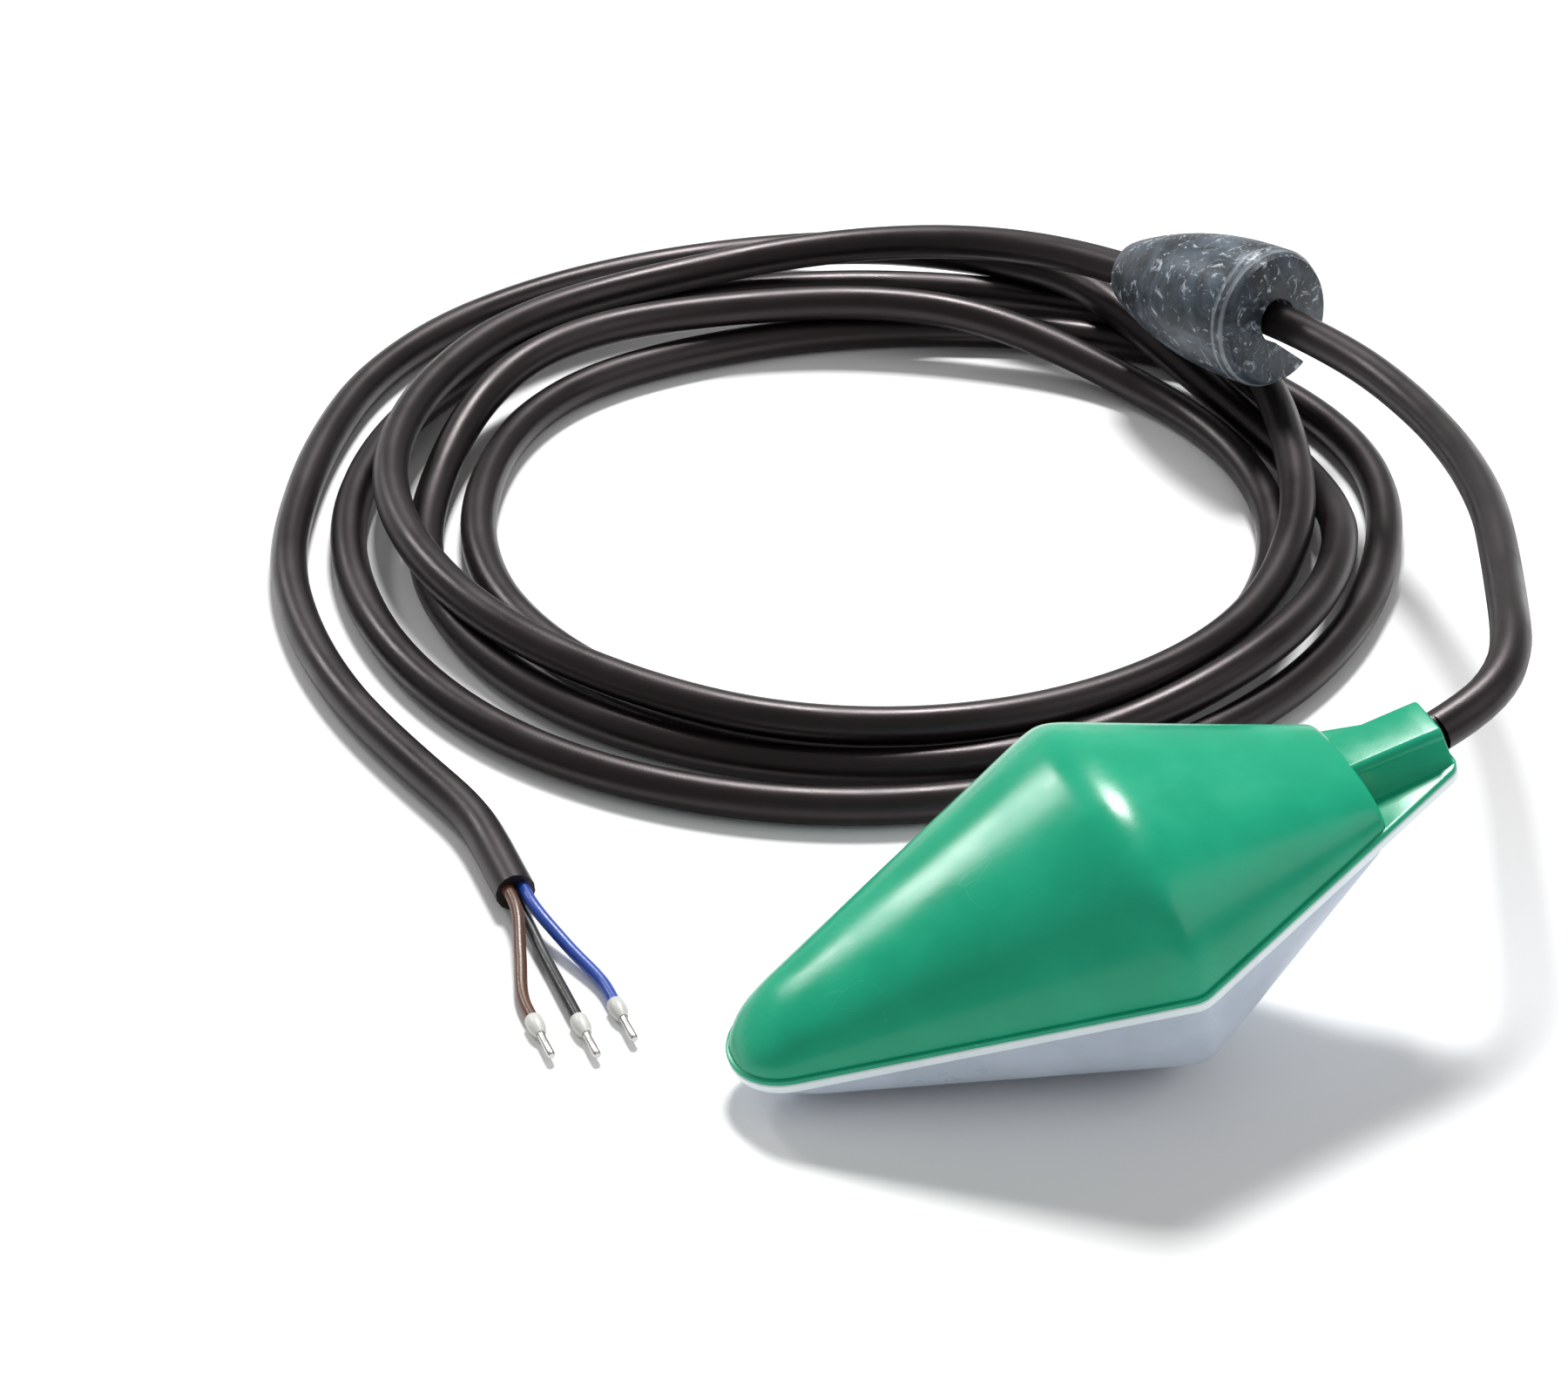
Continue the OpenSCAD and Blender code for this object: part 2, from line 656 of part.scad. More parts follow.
// Free cable: from the neck through the counterweight and down on to the coil
floor_z = cable_r + 0.1;
coil_centre = [30, 203.5];
coil_inner_r = coil_outer_r - coil_band;
neck_run = 6;
lead_route = concat(
    [placed([tail_reach, 0, cable_axis_z]), placed([tail_reach + neck_run, 0, cable_axis_z])],
    [[93.5, 4, 61.8], [102.5, 12.5, 62.2], [110, 27, 61], [117.5, 47, 58], [126, 68.5, 54.9]],
    [[134.4, 90, 51.6], [141, 112, 48.6], [145.8, 135, 45.4], [148.3, 160, 42.4], [147.2, 182, 41]],
    [[143.6, 201, 39.7], weight_face, weight_face + weight_length * weight_axis],
    [[114.5, 285, 28], [102.5, 303.5, 24.8], [87, 318.5, 21.6], [69, 329, 18.6], [50, 335, 16.2]],
    [[30, 336.8, 14.3]]);
module cable_lead() {
    color(sheath_black) tube(lead_route, cable_r, 12);
}
module cable_coil() {
    e = coil_edge_r;
    section = concat(
        arc([coil_outer_r - e, e], e, -90, 0, 5), arc([coil_outer_r - e, coil_height - e], e, 0, 90, 5),
        arc([coil_inner_r + e, coil_height - e], e, 90, 180, 5), arc([coil_inner_r + e, e], e, 180, 270, 5));
    color(sheath_black) translate(coil_centre) rotate_extrude() polygon(section);
}

// Loose outer strand, the straight end of the sheath and the three stripped cores
tail_route = [[116, 305.5, 14.2], [100, 325.5, 11.5], [81, 343.5, 9], [57, 355.5, 6.5], [25, 361.5, floor_z],
    [-11, 356.5, floor_z], [-44, 342.5, floor_z], [-69, 321.5, floor_z], [-87, 295.5, floor_z], [-101, 267.5, floor_z],
    [-112, 236.5, floor_z], [-116, 203.5, floor_z], [-114, 170.5, floor_z], [-108, 142.5, floor_z],
    [-102.6, 122.5, floor_z], [-100.4, 114.5, floor_z], [-100, 110.5, floor_z], [-100, 107.5, floor_z]];
sheath_start = [-100, 107.5, floor_z];
sheath_stop = sheath_start - [0, sheath_end_length, 0];
collar_r = 1.9;
collar_length = 6;
pin_r = 0.9;
pin_length = 8;
lead_z = collar_r + fit_gap;
lead_spread = [-9, 0, 9];
lead_offset = [[-1.7, 0, 1], [0, 0, -1.9], [1.7, 0, 1]];
lead_straight = 3;
lead_sag = 0.6;
function lead_end(i) = [sheath_stop[0] + lead_spread[i], sheath_stop[1] - lead_length + abs(lead_spread[i]) / 3, lead_z];

module cable_tail() {
    color(sheath_black) tube(tail_route, cable_r, 12);
}
module cable_end() {
    color(sheath_black) translate(sheath_start) rotate([90, 0, 0]) cylinder(r = cable_r, h = sheath_end_length);
}
module lead(index, paint) {
    a = sheath_stop + lead_offset[index];
    b = lead_end(index);
    straight = [0, lead_straight, 0];
    middle = (a + b) / 2 - [0, 0, lead_sag];
    color(paint) tube(concat([a, a - straight / 2], smooth([a - straight, a - 2 * straight, middle, b + 2 * straight, b + straight], 2),
        [b + straight / 2, b]), core_r, 8);
}
module lead_brown() lead(0, brown);
module lead_black() lead(1, black);
module lead_blue() lead(2, blue);
module ferrule_collars() {
    color(capsule_grey) for (i = [0 : 2])
        translate(lead_end(i)) rotate([90, 0, 0]) cylinder(r = collar_r, h = collar_length);
}
module ferrule_pins() {
    color(steel) for (i = [0 : 2])
        translate(lead_end(i) - [0, collar_length, 0]) rotate([90, 0, 0]) cylinder(r = pin_r, h = pin_length);
}

upper_shell();
lower_shell();
switch_housing();
cover_gasket();
housing_cover();
cover_screws();
entry_seal();
cable_clamp();
clamp_screws();
ball_track();
steel_ball();
microswitch_case();
switch_button();
switch_lever();
lever_pin();
switch_terminals();
switch_screws();
core_brown();
core_blue();
core_black();
cable_entry();
cable_lead();
counterweight();
cable_coil();
cable_tail();
cable_end();
lead_brown();
lead_blue();
lead_black();
ferrule_collars();
ferrule_pins();
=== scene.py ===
# %% [markdown]
# A cable float switch, dressed for its picture. A green and a white plastic shell make the float,
# a black cable leaves its neck, runs through a slotted iron counterweight and lies in a loose coil.
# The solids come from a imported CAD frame. This lesson gives them rounded skins and finishes.

import math

import bpy
import numpy as np
from mathutils import Matrix, Vector


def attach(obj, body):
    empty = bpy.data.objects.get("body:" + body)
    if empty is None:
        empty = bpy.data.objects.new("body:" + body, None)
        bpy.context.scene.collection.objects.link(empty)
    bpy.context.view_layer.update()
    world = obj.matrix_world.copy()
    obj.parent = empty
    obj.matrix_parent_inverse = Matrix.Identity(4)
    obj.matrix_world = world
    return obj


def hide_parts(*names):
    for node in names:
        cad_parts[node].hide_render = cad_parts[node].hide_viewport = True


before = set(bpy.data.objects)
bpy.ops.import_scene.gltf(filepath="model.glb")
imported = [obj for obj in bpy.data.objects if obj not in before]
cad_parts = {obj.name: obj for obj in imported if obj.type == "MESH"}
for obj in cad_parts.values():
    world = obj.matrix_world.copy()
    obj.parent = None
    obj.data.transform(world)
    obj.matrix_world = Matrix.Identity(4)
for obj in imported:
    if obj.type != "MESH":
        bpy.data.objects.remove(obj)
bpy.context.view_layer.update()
MM = 0.001
print("CAD nodes:", len(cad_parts))

# %% [markdown]
# The camera stands a little to the left of the float and looks down on it from far away. A long lens
# keeps the coil's far side nearly as big as its near side. Its place was found from the float's rim,
# whose plan is known, and it is made first because the cable is laid out for this view.

# %% Camera
sight = bpy.data.cameras.new("camera")
sight.lens = 108
sight.sensor_width = 36
sight.clip_start = 0.05
sight.clip_end = 20
camera = bpy.data.objects.new("camera", sight)
camera.location = (-0.3229, -0.7380, 0.5762)
camera.rotation_euler = (math.radians(58.5), 0, math.radians(-19.15))
bpy.context.scene.collection.objects.link(camera)
bpy.context.scene.camera = camera

# %% [markdown]
# The float is drawn level, in millimetres, with its widest section at zero. It lies nose down, so
# one matrix turns every piece of it to its place. The pieces' objects stay at the origin.

# %% Where the float lies
REST_TILT = math.radians(16.25)
FLOAT_AT = (0.0068, 0, 0.033841)
FLOAT_PLACE = Matrix.Translation(FLOAT_AT) @ Matrix.Rotation(-REST_TILT, 4, "Y") @ Matrix.Scale(MM, 4)


def on_float(x, y, z):
    return FLOAT_PLACE @ Vector((x, y, z))


# %% [markdown]
# A cable is one fixed length of something flexible. Its route is a row of points: straight out of
# the neck, up and over to the counterweight, through its bore, and down on to the coil.

# %% Route from the neck through the counterweight
CABLE_D = 9.0
CABLE_AXIS_Z = 3.2
TAIL_REACH = 74
FLOOR_LEVEL = 4.6
WEIGHT_FACE = Vector((139.6, 216.6, 38.2))
WEIGHT_LENGTH = 54
weight_dip, weight_heading = math.radians(8), math.radians(109)
WEIGHT_AXIS = Vector(
    (
        math.cos(weight_dip) * math.cos(weight_heading),
        math.cos(weight_dip) * math.sin(weight_heading),
        -math.sin(weight_dip),
    )
)
neck_mouth = on_float(TAIL_REACH, 0, CABLE_AXIS_Z) / MM
lead_route = [
    neck_mouth,
    (84.5, 1.2, 59.8),
    (92.3, 5.2, 61.3),
    (99, 12, 62),
    (104.4, 21, 61.8),
    (109.8, 32.5, 60.4),
    (116.3, 47, 58),
    (125.4, 68, 55),
    (134.4, 90, 51.6),
    (141, 112, 48.6),
    (145.8, 135, 45.4),
    (148.3, 160, 42.4),
    (147.2, 182, 41),
    (143.6, 201, 39.7),
    WEIGHT_FACE,
    WEIGHT_FACE + WEIGHT_LENGTH * WEIGHT_AXIS,
    (114.5, 285, 28),
    (102.5, 303.5, 24.8),
    (87, 318.5, 21.6),
    (69, 329, 18.6),
    (50, 335, 16.2),
    (30, 336.8, 14.3),
]

# %% [markdown]
# The coil has four and a half turns, and no two are alike. Each row below gives an angle round the
# coil, the radius there and the height of the cable's middle. Strands on the floor are half a
# diameter up, and a strand that crosses another lies a diameter higher, as a long low hump.

# %% Turns of the coil
COIL_CENTRE = (30, 203.5)
ON_TOP = 13.5
turns = [
    (120, 133.3, 13.7), (150, 124.5, ON_TOP), (180, 112.5, ON_TOP), (210, 104.5, 13), (240, 103.5, 12.8),
    (270, 102.5, 13), (300, 101.5, ON_TOP), (330, 100, ON_TOP), (360, 107.5, 13.8), (375, 117.5, 14),
    (390, 127.5, 13.6), (405, 132.5, 6),
    (420, 134, FLOOR_LEVEL), (450, 135.5, FLOOR_LEVEL), (480, 136, FLOOR_LEVEL), (510, 133, FLOOR_LEVEL),
    (540, 129.5, FLOOR_LEVEL), (570, 128.5, FLOOR_LEVEL), (600, 125, FLOOR_LEVEL), (630, 120.5, FLOOR_LEVEL),
    (660, 118.5, FLOOR_LEVEL), (690, 120.5, FLOOR_LEVEL), (720, 127.5, FLOOR_LEVEL), (750, 124, FLOOR_LEVEL),
    (780, 111, FLOOR_LEVEL), (810, 106.5, FLOOR_LEVEL), (840, 108.5, FLOOR_LEVEL), (870, 101.5, FLOOR_LEVEL),
    (900, 97.5, FLOOR_LEVEL), (930, 95, FLOOR_LEVEL), (960, 94.5, FLOOR_LEVEL), (990, 94, FLOOR_LEVEL),
    (1020, 95, FLOOR_LEVEL), (1050, 95.5, FLOOR_LEVEL), (1080, 97.5, FLOOR_LEVEL), (1110, 101.5, 5),
    (1140, 104, ON_TOP), (1170, 110, ON_TOP), (1200, 118, ON_TOP), (1230, 113.5, 5.5),
    (1260, 112, FLOOR_LEVEL), (1290, 110.5, FLOOR_LEVEL), (1320, 108.5, FLOOR_LEVEL), (1350, 110, 7.5),
    (1380, 112, ON_TOP), (1410, 111.5, 12), (1440, 110, FLOOR_LEVEL), (1450, 110.5, FLOOR_LEVEL),
    (1465, 113, 8), (1478, 119, ON_TOP),
]

# %% Loose outer strand and the straight end of the sheath
SHEATH_STOP = Vector((-100, 81.5, FLOOR_LEVEL))
tail_route = [
    (118.5, 299, 14.2), (100, 325.5, 11.5), (81, 343.5, 9), (57, 355.5, 6.5),
    (25, 361.5, FLOOR_LEVEL), (-11, 356.5, FLOOR_LEVEL), (-44, 342.5, FLOOR_LEVEL), (-69, 321.5, FLOOR_LEVEL),
    (-87, 295.5, FLOOR_LEVEL), (-101, 267.5, FLOOR_LEVEL), (-112, 236.5, FLOOR_LEVEL),
    (-116, 203.5, FLOOR_LEVEL), (-114, 170.5, FLOOR_LEVEL), (-108, 142.5, FLOOR_LEVEL),
    (-102.6, 122.5, FLOOR_LEVEL), (-100.4, 114.5, FLOOR_LEVEL), (-100, 107.5, FLOOR_LEVEL),
    (-100, 94, FLOOR_LEVEL), SHEATH_STOP,
]

# %% [markdown]
# A smooth line through uneven points needs a slope at each point. Here the slope is the average of
# the two neighbouring steps, weighted by their lengths. The same helper winds the coil, where the
# steps are angles, and joins the whole route, where they are distances.


# %% Smooth line through points
def smooth_through(steps, values, wanted):
    steps, values = np.array(steps, float), np.array(values, float)
    gap = np.diff(steps)[:, None]
    slope = np.diff(values, axis=0) / gap
    between = (slope[:-1] * gap[1:] + slope[1:] * gap[:-1]) / (gap[1:] + gap[:-1])
    lean = np.vstack([slope[:1], between, slope[-1:]])
    line = []
    for s in wanted:
        i = min(max(int(np.searchsorted(steps, s)) - 1, 0), len(gap) - 1)
        t = (s - steps[i]) / gap[i]
        line.append(
            (1 + 2 * t) * (1 - t) ** 2 * values[i]
            + t * (1 - t) ** 2 * gap[i] * lean[i]
            + t * t * (3 - 2 * t) * values[i + 1]
            + t * t * (t - 1) * gap[i] * lean[i + 1]
        )
    return np.array(line)


def even_line(points, spacing, soften=0):
    points = np.array([tuple(p) for p in points], float)
    along = np.concatenate([[0], np.cumsum(np.linalg.norm(np.diff(points, axis=0), axis=1))])
    count = max(4, round(along[-1] / spacing))
    line = smooth_through(along, points, np.linspace(0, along[-1], count))
    for _ in range(soften):
        line[1:-1] = (line[:-2] + 2 * line[1:-1] + line[2:]) / 4
    return line


def run_length(line):
    return float(np.linalg.norm(np.diff(line, axis=0), axis=1).sum())


# %% Wind the coil and join the route
WIND_STEP = 6
CABLE_SPACING = 4
angles = np.arange(turns[0][0], turns[-1][0] + 0.1, WIND_STEP)
wound = smooth_through([t[0] for t in turns], [t[1:] for t in turns], angles)
coil_line = [
    (COIL_CENTRE[0] + r * math.cos(math.radians(a)), COIL_CENTRE[1] + r * math.sin(math.radians(a)), z)
    for a, (r, z) in zip(angles, wound)
]
cable_line = even_line(lead_route + coil_line + tail_route, CABLE_SPACING, soften=6)

# %% [markdown]
# A curve with a bevel depth is a round cord. One open spline keeps the centreline, so its length can
# be measured, and it lies where the CAD solids of the cable lie. The depth is one, and each point's
# own radius is half the cord's diameter, because an object's box reaches out by that radius.


# %% Make a round cord
def round_cord(name, line, diameter, sides):
    curve = bpy.data.curves.new(name, "CURVE")
    curve.dimensions = "3D"
    curve.bevel_depth = 1.0
    curve.bevel_resolution = sides // 4 - 1
    curve.use_fill_caps = True
    spline = curve.splines.new("POLY")
    spline.points.add(len(line) - 1)
    for point, place in zip(spline.points, line):
        point.co = (*[c * MM for c in place], 1)
        point.radius = diameter / 2 * MM
    spline.use_smooth = True
    cord = bpy.data.objects.new(name, curve)
    bpy.context.scene.collection.objects.link(cord)
    return cord


cable = round_cord("cable", cable_line, CABLE_D, 24)
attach(cable, "root")
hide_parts("cable_lead", "cable_coil", "cable_tail", "cable_end")

# %% [markdown]
# At the free end the sheath is stripped and three insulated cores spread out, each crimped in a wire
# end sleeve. Each core is a short cord of its own, so that it can be wired to something later.

# %% Stripped cores
CORE_D = 2.8
STRIPPED = 46
SLEEVE_LEVEL = 2.0
CORE_SPACING = 1.5
core_plan = {"brown": (-9, (-1.7, 0, 1)), "black": (0, (0, 0, -1.9)), "blue": (9, (1.7, 0, 1))}
core_cords, core_tips = {}, {}
for paint, (spread, offset) in core_plan.items():
    start = SHEATH_STOP + Vector(offset)
    tip = Vector((SHEATH_STOP.x + spread, SHEATH_STOP.y - STRIPPED + abs(spread) / 3, SLEEVE_LEVEL))
    middle = start.lerp(tip, 0.5) - Vector((0, 0, 0.6))
    core_route = [start + Vector((0, 4, 0)), start, start - Vector((0, 5, 0)), middle]
    core_route += [tip + Vector((0, 6, 0)), tip]
    line = even_line(core_route, CORE_SPACING, soften=2)
    core = round_cord("lead_core_" + paint, line, CORE_D, 16)
    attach(core, "root")
    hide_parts("lead_" + paint)
    core_cords[paint], core_tips[paint] = (core, run_length(line) * MM), tip
print("stripped cores:", {k: round(v[1], 4) for k, v in core_cords.items()})

# %% [markdown]
# Most pieces below start as a primitive, are shaped in edit mode, and are cut or joined with
# modifiers that are applied at once. These helpers keep that to one line a step. Everything is
# deselected first, because an operator acts on all that is selected.


# %% Workshop helpers
def only(piece):
    bpy.ops.object.select_all(action="DESELECT")
    piece.select_set(True)
    bpy.context.view_layer.objects.active = piece


def fresh(name):
    piece = bpy.context.active_object
    piece.name = name
    piece.data.name = name
    return piece


def apply_all(piece):
    only(piece)
    for modifier in list(piece.modifiers):
        bpy.ops.object.modifier_apply(modifier=modifier.name)


def join_cut(piece, tool, how):
    modifier = piece.modifiers.new("join_cut", "BOOLEAN")
    modifier.operation = how
    modifier.solver = "MANIFOLD"
    modifier.object = tool
    apply_all(piece)
    bpy.data.objects.remove(tool, do_unlink=True)


def faces_out(piece):
    only(piece)
    bpy.ops.object.mode_set(mode="EDIT")
    bpy.ops.mesh.select_all(action="SELECT")
    bpy.ops.mesh.remove_doubles(threshold=1e-5)
    bpy.ops.mesh.normals_make_consistent(inside=False)
    bpy.ops.object.mode_set(mode="OBJECT")


def soft_look(piece, degrees=30):
    only(piece)
    bpy.ops.object.shade_smooth_by_angle(angle=math.radians(degrees))


def box_tool(x1, x2, y1, y2, z1, z2):
    middle = ((x1 + x2) / 2, (y1 + y2) / 2, (z1 + z2) / 2)
    bpy.ops.object.select_all(action="DESELECT")
    bpy.ops.mesh.primitive_cube_add(size=1, location=middle)
    tool = fresh("box_tool")
    tool.scale = (x2 - x1, y2 - y1, z2 - z1)
    bpy.ops.object.transform_apply(location=True, rotation=True, scale=True)
    return tool


def bar_tool(radius, x1, x2, z):
    bpy.ops.object.select_all(action="DESELECT")
    bpy.ops.mesh.primitive_cylinder_add(
        vertices=64,
        radius=radius,
        depth=x2 - x1,
        location=((x1 + x2) / 2, 0, z),
        rotation=(0, math.pi / 2, 0),
    )
    bpy.ops.object.transform_apply(location=True, rotation=True, scale=True)
    return fresh("bar_tool")


# %% [markdown]
# A moulded shell is a lofted form: its section changes all the way from nose to tail, and no
# primitive comes near it. So it is skinned from rings of equal count, one ring a station, in code.
# The ends are closed with a face each.


# %% Skin over rings
def skin(name, rings):
    count = len(rings[0])
    corners = [tuple(p) for ring in rings for p in ring]
    faces = []
    for j in range(len(rings) - 1):
        for i in range(count):
            k = (i + 1) % count
            faces.append((j * count + i, j * count + k, (j + 1) * count + k, (j + 1) * count + i))
    faces.append(tuple(reversed(range(count))))
    faces.append(tuple((len(rings) - 1) * count + i for i in range(count)))
    mesh = bpy.data.meshes.new(name)
    mesh.from_pydata(corners, [], faces)
    piece = bpy.data.objects.new(name, mesh)
    bpy.context.scene.collection.objects.link(piece)
    faces_out(piece)
    return piece


# %% [markdown]
# Seen from above the float is a kite with three round corners: a blunt nose, the two wide corners
# and a small tail. Circles and their common tangents give that outline, and a smaller radius gives
# the same outline further in.

# %% Plan of the float
NOSE_X, NOSE_R = -73.5, 15
WIDE_CORNER, WIDE_R = (0, 37), 6
TAIL_CORNER, TAIL_R = (TAIL_REACH - 5, 7), 5
DOME_END = 53


def tangent_angle(c1, r1, c2, r2):
    ux, uy = c2[0] - c1[0], c2[1] - c1[1]
    d = math.hypot(ux, uy)
    ux, uy, s = ux / d, uy / d, (r1 - r2) / d
    c = math.sqrt(1 - s * s)
    return math.degrees(math.atan2(s * uy + c * ux, s * ux - c * uy))


def arc(centre, radius, a1, a2, n):
    return [
        (
            centre[0] + radius * math.cos(math.radians(a1 + (a2 - a1) * i / n)),
            centre[1] + radius * math.sin(math.radians(a1 + (a2 - a1) * i / n)),
        )
        for i in range(n + 1)
    ]


def half_outline(inset, finer=1):
    nose = (NOSE_X, 0)
    a1 = tangent_angle(nose, NOSE_R, WIDE_CORNER, WIDE_R)
    a2 = tangent_angle(WIDE_CORNER, WIDE_R, TAIL_CORNER, TAIL_R)
    return (
        arc(nose, NOSE_R - inset, 180, a1, 24 * finer)
        + arc(WIDE_CORNER, WIDE_R - inset, a1, a2, 12 * finer)
        + arc(TAIL_CORNER, TAIL_R - inset, a2, 0, 12 * finer)
    )


def full_outline(inset):
    half = half_outline(inset)
    return half + [(x, -y) for x, y in reversed(half)]


def plate(name, levels):
    return skin(name, [[(x, y, z) for x, y in full_outline(inset)] for inset, z in levels])


# %% [markdown]
# Seen from the side each dome has two straight lines with a soft crest between them, and a round
# nose. Across, it is a little fuller than an ellipse. The last rings draw in to round its tail end.

# %% Domes
FULLNESS = 2.3
CREST_BLEND = 6
NOSE_HEIGHT = 11
NOSE_ANGLES = (5, 9, 14, 20, 27, 34, 42, 50, 58, 66, 74, 82)
END_ANGLES = (15, 30, 45, 60, 75, 90)


def crest_line(x, top, end_height):
    rise, fall, b = (top - NOSE_HEIGHT) / -NOSE_X, (top - end_height) / DOME_END, CREST_BLEND
    if x < -b:
        return top + rise * x
    if x > b:
        return top - fall * x
    return top + (rise - fall) / 2 * x - (rise + fall) * (x * x + b * b) / (4 * b)


def dome(name, top, end_height, step, inset, base, end_round, count=96):
    outline = np.array(half_outline(step + inset, 3))
    end = DOME_END - inset
    reach = NOSE_R - step - inset
    stations = [NOSE_X - reach * math.cos(math.radians(a)) for a in NOSE_ANGLES]
    stations += list(np.arange(NOSE_X, -CREST_BLEND, 3.0))
    stations += list(np.arange(-CREST_BLEND, CREST_BLEND, 1.0))
    stations += list(np.linspace(CREST_BLEND, end - end_round, 16))
    rounds = [(x, 0.0) for x in stations]
    for a in END_ANGLES:
        t = math.radians(a)
        rounds.append((end - end_round + end_round * math.sin(t), end_round * (1 - math.cos(t))))
    rounds.append((end, end_round + 1.0))
    rings = []
    for x, draw in rounds:
        swell = math.sqrt(max(0.0, 1 - ((NOSE_X - x) / reach) ** 2)) if x < NOSE_X else 1.0
        half = max(0.3, float(np.interp(x, outline[:, 0], outline[:, 1])) - draw)
        whole = x if x >= NOSE_X else NOSE_X + (x - NOSE_X) * NOSE_R / reach
        height = max(base + 0.4, (crest_line(whole, top, end_height) - inset) * swell - draw)
        ring = []
        for i in range(count + 1):
            a = math.pi * i / count
            c, s = math.cos(a), math.sin(a)
            bulge = 2 / FULLNESS
            y = -half * math.copysign(abs(c) ** bulge, c)
            ring.append((x, y, base + (height - base) * max(0.0, s) ** bulge))
        rings.append(ring)
    return skin(name, rings)


def tip_over(piece):
    piece.data.transform(Matrix.Scale(-1, 4, (0, 0, 1)))
    faces_out(piece)
    return piece


# %% [markdown]
# The green upper shell: a dome on a thin rim with a rounded bead all round. Behind the dome a flat
# deck carries the neck housing, a ridge-shaped tunnel for the cable. It is joined from three
# skins, hollowed with a smaller dome, and bored for the cable. A lip under its rim finds the
# lower shell, and two ribs inside hold the sealed capsule down. The neck sinks a little to its end.

# %% Sizes of the two shells
WALL = 2.0
BEAD_T, BEAD_STEP = 1.2, 0.8
FLANGE_T, FLANGE_STEP = 2.2, 1.8
UPPER = dict(top=32.5, end_height=9.2, step=BEAD_STEP)
LOWER = dict(top=35.5, end_height=10, step=FLANGE_STEP)
CRADLES, CRADLE_HALF_T, CRADLE_HALF = (-30, 14), 1.5, 14
SHELL_CUT = DOME_END - WALL
CAPSULE_TOP, CAPSULE_FLOOR = 14.0, 13.0
SADDLE_X, SADDLE_HALF = 40, 4
CABLE_HOLE_R = CABLE_D / 2 + 0.1


# %% Neck housing
NECK_TOP, NECK_END = 8.9, 73.2
NECK_HALF, NECK_EDGE, NECK_FALL = 6.75, 1.8, 0.5
NECK_ROUND = 0.6


def neck_ring(x, draw):
    top = NECK_TOP - NECK_FALL * max(0, x - DOME_END) / (NECK_END - DOME_END)
    slope = math.degrees(math.atan2(2.0, top))
    side = [(9.5, 0.6), (9.5, 1.1), (9.0, 1.4), (8.6, 2.0), (8.3, 3.0)]
    side += arc((NECK_HALF - NECK_EDGE, top - NECK_EDGE), NECK_EDGE, -slope, 90, 8)
    section = [(y - draw * (z > 1), z - draw * (z > 3)) for y, z in side]
    return [(x, y, z) for y, z in section] + [(x, -y, z) for y, z in reversed(section)]


def neck_housing():
    rings = [neck_ring(x, 0) for x in np.linspace(SHELL_CUT, NECK_END - NECK_ROUND, 8)]
    for a in (30, 60, 90):
        t = math.radians(a)
        x = NECK_END - NECK_ROUND + NECK_ROUND * math.sin(t)
        rings.append(neck_ring(x, NECK_ROUND * (1 - math.cos(t))))
    return skin("neck", rings)


# %% Build the upper shell
upper = dome("upper_shell_skin", inset=0, base=0.6, end_round=1.4, **UPPER)
join_cut(upper, plate("rim", [(0.25, 0), (0, 0.25), (0, 0.75), (0.12, 1.05), (0.42, BEAD_T)]), "UNION")
join_cut(upper, neck_housing(), "UNION")
hollow = dome("hollow", inset=WALL, base=BEAD_T + 0.1, end_round=0.6, count=48, **UPPER)
lip_inset = FLANGE_STEP + WALL + 0.1
lip_inside = lip_inset + 1.2
rim_hollow = plate("rim_hollow", [(lip_inside, -1), (lip_inside, BEAD_T + 0.6)])
join_cut(rim_hollow, box_tool(-90, SHELL_CUT - 0.6, -50, 50, -2, 3), "INTERSECT")
join_cut(hollow, rim_hollow, "UNION")
for x in CRADLES:
    rib = box_tool(x - CRADLE_HALF_T, x + CRADLE_HALF_T, -CRADLE_HALF, CRADLE_HALF, CAPSULE_TOP, 40)
    join_cut(hollow, rib, "DIFFERENCE")
join_cut(upper, hollow, "DIFFERENCE")
lip = plate("lip", [(lip_inset, -1.6), (lip_inset, 0.7)])
join_cut(lip, plate("lip_inside", [(lip_inside, -3), (lip_inside, 2)]), "DIFFERENCE")
join_cut(lip, box_tool(-90, SHELL_CUT - 4, -50, 50, -2, 3), "INTERSECT")
join_cut(upper, lip, "UNION")
join_cut(upper, bar_tool(CABLE_HOLE_R, SHELL_CUT - 1, TAIL_REACH + 1, CABLE_AXIS_Z), "DIFFERENCE")
upper.data.transform(FLOAT_PLACE)
soft_look(upper)
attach(upper, "root")
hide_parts("upper_shell")
print("upper shell faces:", len(upper.data.polygons))

# %% [markdown]
# The white lower shell hangs the same kind of dome under a thicker flange. Only the flange goes on
# under the neck. Ribs inside carry the capsule, and a saddle block behind it carries the cable.

